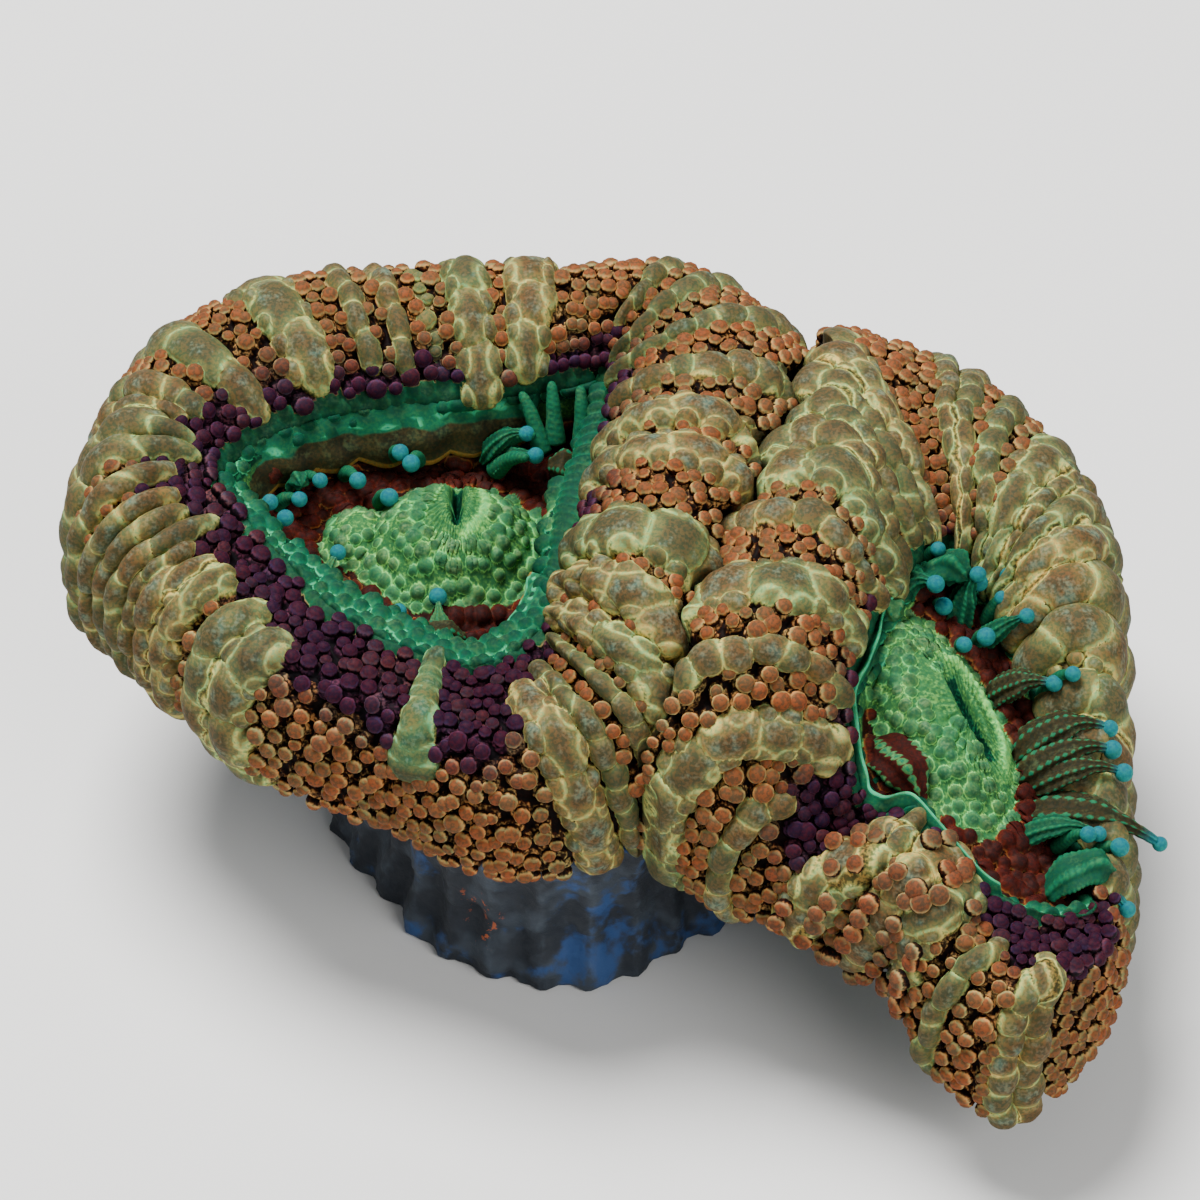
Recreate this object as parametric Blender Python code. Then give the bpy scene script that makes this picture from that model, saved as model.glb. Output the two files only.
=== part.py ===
"""Acan coral: a colony of two fleshy polyps grown together on one stony foot, cut flat where it grew.

+X is to the viewer's right, -Y towards the viewer, +Z up; the cut rests on Z = 0. Lengths in the
tables are millimetres. Each polyp is a closed ring of stations, anticlockwise from above, that
carries the flesh from the lip of the oral disc over a rolled crest to the hem under its outer edge.
"""
import math

import bmesh
import bpy
import numpy as np
from mathutils import Vector

MM = 0.001

# The colony.
DISC_LEVEL = 9.0  # underside of the flesh, over the top of the foot
TOUCH_GAP = 0.3  # between pieces that touch
SEAM_POINT = (7.3, 0.0)  # the furrow where the two polyps meet, in plan
SEAM_RUN = (0.306, 1.0)
FLESH_INSET = 0.55  # the smooth flesh lies this far inside the tips of its lobes
HEM_SETBACK = 1.5  # the hem lies this far in from the outer edge
FULL_BREADTH = 5.0  # a roll this wide in plan has rows of full height
FULL_SPACING = 0.8  # columns at least this far apart have rows of full height

# Stations: lip of the disc, crest of the roll, outer edge, and the height of the hem.
LEFT_RING = [
    ((-0.3, -2.5, 18.0), (2.7, -5.5, 22.3), (6.2, -7.6, 15.0), 9.6),
    ((0.6, 2.2, 18.0), (4.2, 0.2, 22.5), (8.6, -2.2, 15.0), 9.6),
    ((1.3, 6.3, 18.2), (5.5, 5.0, 22.3), (10.2, 3.4, 15.0), 9.6),
    ((1.4, 8.8, 18.5), (6.0, 9.8, 21.8), (11.8, 10.0, 15.0), 9.6),
    ((1.0, 9.6, 18.5), (3.5, 13.0, 21.2), (6.5, 17.0, 15.0), 10.0),
    ((-1.0, 9.2, 18.5), (-0.2, 12.8, 21.6), (0.3, 16.6, 15.5), 10.0),
    ((-3.7, 8.6, 18.5), (-4.2, 12.8, 21.6), (-4.6, 16.6, 15.5), 10.0),
    ((-7.1, 8.2, 18.5), (-8.2, 12.6, 21.6), (-9.2, 16.4, 15.5), 10.0),
    ((-10.7, 7.6, 18.5), (-12.5, 12.0, 21.6), (-14.3, 15.6, 15.5), 10.5),
    ((-13.8, 6.2, 18.5), (-16.6, 9.8, 21.3), (-19.0, 12.8, 15.5), 11.0),
    ((-15.8, 4.2, 18.5), (-19.2, 6.2, 20.8), (-21.8, 7.8, 14.5), 11.0),
    ((-16.2, 2.8, 18.5), (-20.1, 1.8, 20.4), (-22.7, 1.2, 14.5), 11.5),
    ((-14.9, 0.7, 18.2), (-18.4, -1.4, 19.6), (-21.1, -2.0, 15.0), 12.0),
    ((-12.9, -1.9, 18.0), (-15.8, -4.5, 18.8), (-18.2, -5.3, 14.5), 11.5),
    ((-10.6, -4.8, 17.8), (-12.6, -7.6, 18.2), (-14.6, -8.8, 14.0), 10.8),
    ((-7.1, -7.0, 17.5), (-8.0, -9.8, 17.8), (-9.0, -11.2, 13.3), 10.0),
    ((-4.0, -7.8, 17.5), (-3.8, -11.6, 17.5), (-3.7, -13.8, 12.5), 9.4),
    ((-1.6, -5.8, 17.6), (0.0, -10.2, 18.5), (1.2, -13.0, 13.0), 9.4),
    ((-0.9, -4.2, 17.8), (1.6, -8.2, 20.5), (4.4, -11.5, 15.0), 9.6),
]
RIGHT_RING = [
    ((11.8, -8.9, 16.5), (7.6, -9.6, 21.4), (1.8, -10.6, 15.5), 9.5),
    ((12.1, -12.2, 14.8), (8.2, -12.8, 17.4), (4.8, -14.0, 12.0), 8.8),
    ((12.9, -13.3, 14.2), (10.6, -14.6, 14.0), (8.6, -15.5, 10.5), 8.2),
    ((14.7, -13.5, 14.0), (14.2, -16.6, 14.6), (13.4, -18.0, 10.0), 6.8),
    ((17.9, -16.6, 12.5), (16.8, -19.2, 12.6), (14.8, -20.4, 8.0), 4.8),
    ((20.4, -17.4, 12.0), (19.6, -20.6, 12.0), (18.3, -22.4, 7.0), 3.4),
    ((22.4, -16.4, 11.6), (22.5, -18.4, 11.6), (22.9, -19.0, 7.5), 4.0),
    ((22.2, -13.4, 11.8), (23.2, -13.6, 12.2), (24.2, -13.8, 8.5), 5.5),
    ((21.8, -9.0, 12.6), (23.0, -9.2, 13.0), (24.2, -9.4, 9.5), 6.5),
    ((20.8, -5.2, 13.5), (22.5, -5.4, 15.2), (24.2, -5.4, 11.8), 8.0),
    ((19.5, -1.6, 14.0), (21.9, -0.7, 17.0), (24.2, 1.0, 13.0), 9.3),
    ((18.6, 0.3, 14.3), (20.4, 2.9, 17.8), (23.1, 6.4, 13.5), 9.5),
    ((17.2, 1.7, 14.8), (17.6, 6.5, 18.6), (19.8, 11.3, 14.0), 9.5),
    ((15.9, 2.0, 15.3), (15.2, 8.0, 18.8), (15.8, 14.3, 14.0), 9.5),
    ((15.0, 0.6, 15.8), (12.4, 7.2, 20.3), (10.8, 14.2, 15.5), 9.8),
    ((13.8, -2.0, 16.0), (11.4, 2.4, 21.2), (7.0, 4.6, 16.0), 9.5),
    ((12.8, -5.2, 16.3), (9.5, -4.2, 21.8), (4.6, -2.8, 16.0), 9.5),
]

# Rows of vesicles between one station and the next: B broad, m middling, b beads, n narrow,
# S one smooth bar.
LEFT_ROWS = (
    "Bbb BbB bmbb mbmb mbbb bBb Bbb mbmb Bbb Bm mbB bnB mBmB bBb bbbb bSbb bBm bmB Bbb"
).split()
RIGHT_ROWS = "bbB bmb bbB BBb bmb mbb bn nn nB BB BBm Bmb mmb bbB mmm Bbb bBb".split()
ROW_WIDTH = {"B": 1.9, "S": 1.2, "m": 1.3, "b": 0.9, "n": 0.6}
ROW_HEIGHT = {"B": 1.15, "S": 0.9, "m": 0.9, "b": 0.65, "n": 0.4}

# Levels over the roll: 0 lip, 1 crest, 2 outer edge, 3 hem.
LEVELS = (0.0, 0.35, 0.7, 1.05, 1.4, 1.75, 2.15, 2.6, 3.0)

# The oral disc inside the lip: share of the lip's radius, and height from the mouth.
LEFT_MOUTH = (-5.4, 2.9, 17.5)
LEFT_DISC = ((0.94, -1.4), (0.84, -2.5), (0.62, -2.6), (0.44, -1.9), (0.26, -0.5))
LEFT_SLIT = (0.35, 0.95, 0.0)  # half width, half length, turn in degrees
RIGHT_MOUTH = (17.4, -7.6, 14.6)
RIGHT_DISC = ((0.93, -0.6), (0.84, -1.8), (0.64, -1.5), (0.44, -0.7), (0.24, -0.1))
RIGHT_SLIT = (0.35, 1.5, 28.0)
SLIT_DEPTH = 1.3
UNDERSIDE = ((0.84, 0.3), (0.68, 20.0))  # share of the hem's radius, and rise from the hem, up to the foot
DISC_RIDGES = 14
DISC_RIDGE_HEIGHT = 0.18

# Long tentacles that rise from the right polyp's disc: root, bend and tip.
TENTACLES = [
    ((19.8, -11.2, 10.4), (22.6, -12.0, 13.6), (25.4, -12.3, 11.2)),
    ((20.0, -10.0, 10.6), (22.2, -9.8, 14.6), (24.0, -9.2, 12.6)),
    ((18.8, -12.4, 10.6), (20.8, -12.9, 14.0), (22.6, -13.2, 12.7)),
    ((20.8, -13.6, 9.8), (22.4, -14.8, 12.8), (23.9, -15.9, 10.8)),
    ((19.2, -8.6, 11.0), (21.2, -7.6, 14.8), (23.0, -6.9, 13.4)),
    ((18.4, -3.6, 11.8), (19.4, -3.0, 14.6), (19.9, -2.7, 16.0)),
    ((16.2, -2.4, 12.4), (17.2, -1.2, 15.4), (17.8, -0.8, 16.6)),
]
TENTACLE_RADIUS = 0.5
TENTACLE_WAIST = 0.55  # share of the radius just under the ball at the tip
TENTACLE_BALL = 0.95  # the ball's share

# The foot: radii of the cut's outline at even bearings from +X, and shares of them by height.
FOOT_CENTRE = (0.6, 0.2)
FOOT_RADII = (11.4, 11.6, 12.0, 12.2, 12.0, 12.2, 12.2, 10.9, 11.4, 11.0, 9.4, 10.4)
FOOT_FLARE = ((0.0, 1.0), (0.9, 0.99), (2.8, 0.93), (6.0, 0.95), (DISC_LEVEL - TOUCH_GAP, 1.03))
COSTAE = 30
COSTA_HEIGHT = 0.28


def material(name, color, roughness, sheen=0.0):
    """A Principled finish."""
    made = bpy.data.materials.new(name)
    made.use_nodes = True
    shader = made.node_tree.nodes["Principled BSDF"]
    shader.inputs["Base Color"].default_value = (*color, 1.0)
    shader.inputs["Roughness"].default_value = roughness
    shader.inputs["Metallic"].default_value = 0.0
    shader.inputs["Sheen Weight"].default_value = sheen
    return made


def collection(name, hidden=False):
    made = bpy.data.collections.new(name)
    bpy.context.scene.collection.children.link(made)
    made.hide_render = hidden
    return made


def put(name, mesh, group, finish):
    """One named object with smooth shading and its own finish."""
    for face in mesh.polygons:
        face.use_smooth = True
    mesh.materials.clear()
    mesh.materials.append(finish)
    made = bpy.data.objects.new(name, mesh)
    group.objects.link(made)
    return made


def round_ring(points, t):
    """A closed Catmull-Rom curve through the points, read at station numbers t."""
    points = np.asarray(points, float)
    count = len(points)
    whole = np.floor(t).astype(int)
    f = (t - whole)[:, None]
    a, b, c, d = (points[(whole + k) % count] for k in (-1, 0, 1, 2))
    return 0.5 * (2 * b + (c - a) * f + (2 * a - 5 * b + 4 * c - d) * f**2 + (3 * b - a - 3 * c + d) * f**3)


def quarter(start, end, f, flat_first):
    """A quarter ellipse between two rings; flat_first leaves the start level."""
    turn = f * math.pi / 2
    across, up = (math.sin(turn), 1 - math.cos(turn)) if flat_first else (1 - math.cos(turn), math.sin(turn))
    made = start + (end - start) * across
    made[:, 2] = start[:, 2] + (end - start)[:, 2] * up
    return made


def roll(ring, t, v):
    """The smooth flesh at stations t and one level v."""
    lip, crest, edge = (round_ring([station[k] for station in ring], t) for k in range(3))
    inward = (crest - edge) * (1, 1, 0)
    hem = edge + inward * HEM_SETBACK / np.linalg.norm(inward, axis=1)[:, None]
    hem[:, 2] = round_ring([(station[3],) for station in ring], t)[:, 0]
    if v < 1:
        return quarter(lip, crest, v, False)
    if v < 2:
        return quarter(crest, edge, v - 1, True)
    return quarter(edge, hem, v - 2, False)


def outward(ring, t, v):
    """Unit normals of the smooth flesh."""
    step = 0.02
    along = roll(ring, t + step, v) - roll(ring, t - step, v)
    down = roll(ring, t, min(v + step, 2.999)) - roll(ring, t, max(v - step, 0.0))
    normal = np.cross(down, along)
    return normal / np.linalg.norm(normal, axis=1)[:, None]


def columns(rows):
    """Each row gives a valley column and one or three crest columns: station, kind, row, crest."""
    made = []
    number = 0
    for station, kinds in enumerate(rows):
        total = sum(ROW_WIDTH[kind] for kind in kinds)
        at = 0.0
        for kind in kinds:
            width = ROW_WIDTH[kind] / total
            shares = (0.0, 0.25, 0.5, 0.75) if kind == "B" else (0.0, 0.5)
            for share in shares:
                made.append((station + at + width * share, kind, number, share > 0))
            at += width
            number += 1
    return made


def relief(kind, number, crest, v):
    """Height of a row over the smooth flesh: broad rows are long lobes, bead rows alternate."""
    fade = min(v / 0.35, 1.0) * min((3.0 - v) / 0.5, 1.0)
    if not crest:
        return -0.25 * fade
    if kind in "BSm":
        lobe = 0.75 + 0.25 * math.cos(2 * math.pi * (v * 0.9 + 0.37 * number))
    else:
        lobe = 1.0 if (round(v / 0.36) + number) % 2 else 0.45
    return ROW_HEIGHT[kind] * lobe * fade


def mantle(ring, rows):
    """The rings of points of the roll, from lip to hem; rows stand less high where the roll is thin."""
    cols = columns(rows)
    t = np.array([col[0] for col in cols])
    breadth = np.linalg.norm((roll(ring, t, 2.0) - roll(ring, t, 0.0))[:, :2], axis=1)
    stout = np.clip(breadth / FULL_BREADTH, 0.2, 1.0)
    made = []
    for v in LEVELS:
        smooth = roll(ring, t, v)
        spacing = np.linalg.norm(np.roll(smooth, -1, axis=0) - np.roll(smooth, 1, axis=0), axis=1) / 2
        room = np.clip(spacing / FULL_SPACING, 0.15, 1.0)
        height = np.array([relief(kind, number, crest, v) for _, kind, number, crest in cols])
        inset = FLESH_INSET * min(v / 0.35, 1.0)
        made.append(smooth + outward(ring, t, v) * ((height * room - inset) * stout)[:, None])
    return made


def disc(lip, mouth, levels, slit):
    """The rings of points of the oral disc, from below the lip to the bottom of the mouth's slit."""
    mouth = np.array(mouth)
    lean = (lip - mouth)[:, 2] - np.mean((lip - mouth)[:, 2])
    bearing = np.arctan2(lip[:, 1] - mouth[1], lip[:, 0] - mouth[0])
    made = []
    for share, height in levels:
        ring = mouth + (lip - mouth) * share
        ridge = DISC_RIDGE_HEIGHT * np.cos(DISC_RIDGES * bearing) * min(1.0, 2.5 * (1 - share))
        ring[:, 2] = mouth[2] + height + lean * share + ridge
        made.append(ring)
    half_width, half_length, turn = slit
    turn = math.radians(turn)
    for size, height in ((1.0, 0.0), (0.45, -SLIT_DEPTH)):
        x = np.cos(bearing - turn) * half_width * size
        y = np.sin(bearing - turn) * half_length * size
        ring = np.empty_like(lip)
        ring[:, 0] = mouth[0] + x * math.cos(turn) - y * math.sin(turn)
        ring[:, 1] = mouth[1] + x * math.sin(turn) + y * math.cos(turn)
        ring[:, 2] = mouth[2] + height
        made.append(ring)
    return made


def underside(hem, mouth):
    """The rings of points under the flesh, from the hem in to the flat that lies on the foot."""
    made = []
    for share, rise in UNDERSIDE:
        ring = mouth + (hem - mouth) * share
        ring[:, 2] = np.minimum(hem[:, 2] + rise, DISC_LEVEL)
        made.append(ring)
    return made


def skin(rings, body):
    """Add the quads between rings; a ring with half the points of its neighbour meets it two to one."""
    loops = [[body.verts.new(Vector(p) * MM) for p in ring] for ring in rings]
    for upper, lower in zip(loops, loops[1:]):
        if len(upper) == len(lower):
            for k in range(len(upper)):
                j = (k + 1) % len(upper)
                body.faces.new((upper[k], upper[j], lower[j], lower[k]))
            continue
        many, few = (upper, lower) if len(upper) > len(lower) else (lower, upper)
        count = len(many)
        for k in range(0, count, 2):
            here, there = few[k // 2], few[(k // 2 + 1) % len(few)]
            body.faces.new((many[k], many[k + 1], here))
            body.faces.new((many[k + 1], many[(k + 2) % count], there, here))
    body.faces.new(loops[0])
    body.faces.new(loops[-1])


def halve(ring):
    return ring[::2]


def beyond_seam(name, side, group):
    """A block whose face stands at the furrow, on the far side of it from the polyp it trims."""
    block_size = 80.0
    run = Vector((*SEAM_RUN, 0.0)).normalized()
    normal = Vector((run.y, -run.x, 0.0))
    centre = Vector((*SEAM_POINT, 0.0)) - normal * side * (block_size - TOUCH_GAP) / 2
    bpy.ops.mesh.primitive_cube_add(size=block_size * MM, location=centre * MM)
    block = bpy.context.object
    block.name = name
    block.rotation_euler.z = -math.atan2(SEAM_RUN[0], SEAM_RUN[1])
    block.display_type = "WIRE"
    for old in block.users_collection:
        old.objects.unlink(block)
    group.objects.link(block)
    return block


def polyp(name, ring, rows, mouth, levels, slit, trim, group, finish):
    """One polyp: disc, roll and underside in one closed body, trimmed at the furrow."""
    over = mantle(ring, rows)
    inside = [halve(r) for r in disc(over[0], mouth, levels, slit)]
    below = [halve(r) for r in underside(over[-1], mouth)]
    body = bmesh.new()
    skin(inside[::-1] + over + below, body)
    bmesh.ops.recalc_face_normals(body, faces=body.faces[:])
    mesh = bpy.data.meshes.new(name)
    body.to_mesh(mesh)
    body.free()
    made = put(name, mesh, group, finish)
    boolean(made, trim, "DIFFERENCE")
    return made


def tentacle(number, points, group):
    """A tapering finger with a ball at its tip, as a closed mesh that is ready to be joined."""
    root, bend, tip = (Vector(p) * MM for p in points)
    curve = bpy.data.curves.new(f"tentacle_{number}", "CURVE")
    curve.dimensions = "3D"
    curve.bevel_depth = TENTACLE_RADIUS * MM
    curve.bevel_resolution = 1
    curve.use_fill_caps = True
    profile = ((0.0, 1.25), (0.3, 1.0), (0.6, 0.8), (0.84, TENTACLE_WAIST), (0.94, TENTACLE_BALL), (1.0, 0.35))
    line = curve.splines.new("POLY")
    line.points.add(len(profile) - 1)
    for point, (share, radius) in zip(line.points, profile):
        place = root * (1 - share) ** 2 + bend * 2 * share * (1 - share) + tip * share**2
        point.co = (*place, 1.0)
        point.radius = radius
    holder = bpy.data.objects.new(f"tentacle_{number}", curve)
    group.objects.link(holder)
    bpy.context.view_layer.update()
    mesh = bpy.data.meshes.new_from_object(holder.evaluated_get(bpy.context.evaluated_depsgraph_get()))
    made = bpy.data.objects.new(f"finger_{number}", mesh)
    made.matrix_world = holder.matrix_world
    group.objects.link(made)
    bpy.data.objects.remove(holder)
    body = bmesh.new()
    body.from_mesh(mesh)
    bmesh.ops.remove_doubles(body, verts=body.verts[:], dist=1e-6)
    bmesh.ops.recalc_face_normals(body, faces=body.faces[:])
    body.to_mesh(mesh)
    body.free()
    made.display_type = "WIRE"
    return made


def boolean(target, piece, operation):
    """Cut a closed piece from the target, or join it on."""
    step = target.modifiers.new(piece.name, "BOOLEAN")
    step.operation = operation
    step.solver = "EXACT"
    step.use_self = True
    step.object = piece


def skeleton(group, finish):
    """The stony foot: a flaring wall with fine upright ribs, flat at the cut and under the flesh."""
    columns_round = COSTAE * 2
    bearing = np.arange(columns_round) * 2 * math.pi / columns_round
    at = np.arange(columns_round) * len(FOOT_RADII) / columns_round
    radius = round_ring([(r,) for r in FOOT_RADII], at)[:, 0]
    rib = np.where(np.arange(columns_round) % 2, COSTA_HEIGHT, -COSTA_HEIGHT)
    rings = []
    for height, flare in FOOT_FLARE:
        reach = radius * flare + rib
        ring = np.zeros((columns_round, 3))
        ring[:, 0] = FOOT_CENTRE[0] + reach * np.cos(bearing)
        ring[:, 1] = FOOT_CENTRE[1] + reach * np.sin(bearing)
        ring[:, 2] = height
        rings.append(ring)
    body = bmesh.new()
    skin(rings, body)
    bmesh.ops.recalc_face_normals(body, faces=body.faces[:])
    mesh = bpy.data.meshes.new("skeleton")
    body.to_mesh(mesh)
    body.free()
    return put("skeleton", mesh, group, finish)


def build():
    for old in list(bpy.data.objects):
        bpy.data.objects.remove(old)
    parts = collection("acan_coral")
    cutters = collection("joined_forms", hidden=True)
    left_finish = material("left_flesh", (0.34, 0.21, 0.10), 0.45, 0.3)
    right_finish = material("right_flesh", (0.36, 0.23, 0.11), 0.45, 0.3)
    stone = material("stone", (0.07, 0.08, 0.10), 0.9)
    skeleton(parts, stone)
    past_left = beyond_seam("past_left", -1, cutters)
    past_right = beyond_seam("past_right", 1, cutters)
    polyp("left_polyp", LEFT_RING, LEFT_ROWS, LEFT_MOUTH, LEFT_DISC, LEFT_SLIT, past_left, parts, left_finish)
    right = polyp(
        "right_polyp", RIGHT_RING, RIGHT_ROWS, RIGHT_MOUTH, RIGHT_DISC, RIGHT_SLIT, past_right, parts, right_finish
    )
    for number, points in enumerate(TENTACLES, 1):
        boolean(right, tentacle(number, points, cutters), "UNION")


build()
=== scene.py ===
"""Looks of the acan coral: beaded and lobed flesh, oral discs, tentacles and the stony foot.

Lengths are in millimetres, in the frame of the solids: +X right, -Y towards the viewer, +Z up.
"""

import math
import random
from collections import namedtuple
from dataclasses import dataclass

import bmesh
import bpy
import numpy as np
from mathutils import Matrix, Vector, noise


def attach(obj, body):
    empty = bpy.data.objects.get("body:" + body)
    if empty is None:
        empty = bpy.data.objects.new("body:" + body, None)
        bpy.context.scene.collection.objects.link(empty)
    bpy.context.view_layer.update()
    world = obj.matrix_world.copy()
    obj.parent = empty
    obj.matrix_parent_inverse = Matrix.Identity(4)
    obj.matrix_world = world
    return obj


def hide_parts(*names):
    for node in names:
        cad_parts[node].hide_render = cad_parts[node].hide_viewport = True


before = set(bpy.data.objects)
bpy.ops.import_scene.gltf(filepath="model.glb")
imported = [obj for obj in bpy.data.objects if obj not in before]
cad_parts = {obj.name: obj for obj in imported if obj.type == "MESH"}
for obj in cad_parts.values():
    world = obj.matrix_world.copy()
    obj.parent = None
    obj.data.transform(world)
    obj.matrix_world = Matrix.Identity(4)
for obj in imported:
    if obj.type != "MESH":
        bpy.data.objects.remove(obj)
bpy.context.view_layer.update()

MM = 0.001
PLAN = np.array((1.0, 1.0, 0.0))
LEVEL = np.array((0.0, 0.0, 1.0))
chance = random.Random(41)

# -------------------- the form of the flesh

SEAM_POINT = (7.3, 0.0)
SEAM_RUN = (0.306, 1.0)
SEAM_LENGTH = math.hypot(*SEAM_RUN)
SEAM_GAP = 0.1
FLESH_INSET = 0.55
INSET_LEVEL = 0.35
HEM_SETBACK = 1.5
FOOT_TOP = 9.0
ROLL_END = 2.999
HEM, LEAN, BAND = 3, 4, 5

# Stations anticlockwise from above: lip, crest, outer edge, hem height, how far a row leans to the
# next station by each level, and the level down to which the flesh is violet.
LEFT_RING = [
    ((-0.3, -2.5, 18.0), (2.7, -5.5, 22.3), (6.2, -7.6, 15.0), 9.6, 0.30, 0.28),
    ((0.6, 2.2, 18.0), (4.2, 0.2, 22.5), (8.6, -2.2, 15.0), 9.6, 0.35, 0.42),
    ((1.3, 6.3, 18.2), (5.5, 5.0, 22.3), (10.2, 3.4, 15.0), 9.6, 0.40, 0.30),
    ((1.4, 8.8, 18.5), (6.0, 9.8, 21.8), (11.8, 10.0, 15.0), 9.6, 0.40, 0.28),
    ((1.0, 9.6, 18.5), (3.5, 13.0, 21.2), (6.5, 17.0, 15.0), 10.0, 0.10, 0.50),
    ((-1.0, 9.2, 18.5), (-0.2, 12.8, 21.6), (0.3, 16.6, 15.5), 10.0, 0.0, 0.26),
    ((-3.7, 8.6, 18.5), (-4.2, 12.8, 21.6), (-4.6, 16.6, 15.5), 10.0, 0.0, 0.12),
    ((-7.1, 8.2, 18.5), (-8.2, 12.6, 21.6), (-9.2, 16.4, 15.5), 10.0, 0.0, 0.36),
    ((-10.7, 7.6, 18.5), (-12.5, 12.0, 21.6), (-14.3, 15.6, 15.5), 10.5, 0.0, 0.36),
    ((-13.8, 6.2, 18.5), (-16.6, 9.8, 21.3), (-19.0, 12.8, 15.5), 11.0, 0.10, 0.50),
    ((-15.8, 4.2, 18.5), (-19.2, 6.2, 20.8), (-21.8, 7.8, 14.5), 11.0, 0.20, 0.72),
    ((-16.2, 2.8, 18.5), (-20.1, 1.8, 20.4), (-22.7, 1.2, 14.5), 11.5, 0.15, 0.85),
    ((-14.9, 0.7, 18.2), (-18.4, -1.4, 19.6), (-21.1, -2.0, 15.0), 12.0, 0.12, 0.85),
    ((-12.9, -1.9, 18.0), (-15.8, -4.5, 18.8), (-18.2, -5.3, 14.5), 11.5, 0.10, 0.85),
    ((-10.6, -4.8, 17.8), (-12.6, -7.6, 18.2), (-14.6, -8.8, 14.0), 10.8, 0.0, 1.30),
    ((-7.1, -7.0, 17.5), (-8.0, -9.8, 17.8), (-9.0, -11.2, 13.3), 10.0, 0.0, 1.50),
    ((-4.0, -7.8, 17.5), (-3.8, -11.6, 17.5), (-3.7, -13.8, 12.5), 9.4, 0.15, 1.35),
    ((-1.6, -5.8, 17.6), (0.0, -10.2, 18.5), (1.2, -13.0, 13.0), 9.4, 0.40, 0.45),
    ((-0.9, -4.2, 17.8), (1.6, -8.2, 20.5), (4.4, -11.5, 15.0), 9.6, 0.45, 0.30),
]
RIGHT_RING = [
    ((11.8, -8.9, 16.5), (7.6, -9.6, 21.4), (1.8, -10.6, 15.5), 9.5, -0.10, 0.16),
    ((12.1, -12.2, 14.8), (8.2, -12.8, 17.4), (4.8, -14.0, 12.0), 8.8, -0.15, 0.55),
    ((12.9, -13.3, 14.2), (10.6, -14.6, 14.0), (8.6, -15.5, 10.5), 8.2, -0.10, 1.45),
    ((14.7, -13.5, 14.0), (14.2, -16.6, 14.6), (13.4, -18.0, 10.0), 6.8, -0.45, 0.20),
    ((17.9, -16.6, 12.5), (16.8, -19.2, 12.6), (14.8, -20.4, 8.0), 4.8, -0.25, 0.60),
    ((20.4, -17.4, 12.0), (19.6, -20.6, 12.0), (18.3, -22.4, 7.0), 3.4, -0.10, 1.00),
    ((22.4, -16.4, 11.6), (22.5, -18.4, 11.6), (22.9, -19.0, 7.5), 4.0, 0.0, 1.40),
    ((22.2, -13.4, 11.8), (23.2, -13.6, 12.2), (24.2, -13.8, 8.5), 5.5, 0.0, 0.50),
    ((21.8, -9.0, 12.6), (23.0, -9.2, 13.0), (24.2, -9.4, 9.5), 6.5, 0.0, 0.0),
    ((20.8, -5.2, 13.5), (22.5, -5.4, 15.2), (24.2, -5.4, 11.8), 8.0, 0.0, 0.0),
    ((19.5, -1.6, 14.0), (21.9, -0.7, 17.0), (24.2, 1.0, 13.0), 9.3, 0.0, 0.10),
    ((18.6, 0.3, 14.3), (20.4, 2.9, 17.8), (23.1, 6.4, 13.5), 9.5, 0.10, 0.12),
    ((17.2, 1.7, 14.8), (17.6, 6.5, 18.6), (19.8, 11.3, 14.0), 9.5, 0.30, 0.20),
    ((15.9, 2.0, 15.3), (15.2, 8.0, 18.8), (15.8, 14.3, 14.0), 9.5, 0.80, 0.24),
    ((15.0, 0.6, 15.8), (12.4, 7.2, 20.3), (10.8, 14.2, 15.5), 9.8, 0.80, 0.18),
    ((13.8, -2.0, 16.0), (11.4, 2.4, 21.2), (7.0, 4.6, 16.0), 9.5, 0.30, 0.14),
    ((12.8, -5.2, 16.3), (9.5, -4.2, 21.8), (4.6, -2.8, 16.0), 9.5, 0.05, 0.12),
]

# Rows of vesicles between one station and the next: B broad lobes, R the same with red bumps on them,
# L long ridges, m middling lobes, b beads, n narrow ones, S one smooth bar that ends in a blob.
LEFT_ROWS = (
    "Bbb BbBb bmbb mbbmb mbbbb bBb Bbnb mbmbb Bbb Lbm mLLb LbLL LmLB bLB bbbbbb bSbbbb bbBm bmbB bBb"
).split()
RIGHT_ROWS = "mbbB bbmbb bbRmb RRb bmbbb mmbbb bbm mm LL nLL BLm Bbmb mmbb bbB mmm Bbmb bBbb".split()
ROW_WIDTH = {"B": 1.9, "R": 1.9, "L": 1.7, "S": 1.7, "m": 1.25, "b": 0.9, "n": 0.6}
LOBE_PITCH = {"B": 2.1, "R": 2.0, "L": 1.9, "S": 0.6, "m": 1.2, "b": 0.70, "n": 0.8}
LOBE_RISE = {"B": 1.15, "R": 1.05, "L": 1.1, "S": 0.95, "m": 1.0, "b": 0.70, "n": 0.5}
LOBE_OVERLAP = {"B": 0.74, "R": 0.76, "L": 0.80, "S": 1.6, "m": 0.74, "b": 0.60, "n": 0.7}
LOBE_KIND = {"B": 0.95, "R": 0.95, "L": 0.95, "S": 1.5, "m": 0.72, "b": 0.0, "n": 0.9}
BROAD_KINDS = "BRLSm"
BAR_END = 1.7
BAR_BLOB = 1.35
RED_BUMP = 0.58
RED_VIOLET = 0.35


def clamp(value):
    """The value kept between 0 and 1."""
    return np.clip(value, 0.0, 1.0)


def unit(vectors):
    """Each row of an array at length 1."""
    return vectors / np.linalg.norm(vectors, axis=1)[:, None]


def smooth(f):
    """A share that starts and ends gently."""
    return f * f * (3 - 2 * f)


def bell(x):
    """1 at 0, falling away on both sides."""
    return np.exp(-(x**2))


def column(ring, number):
    """One column of a ring table."""
    return [station[number] for station in ring]


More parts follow.
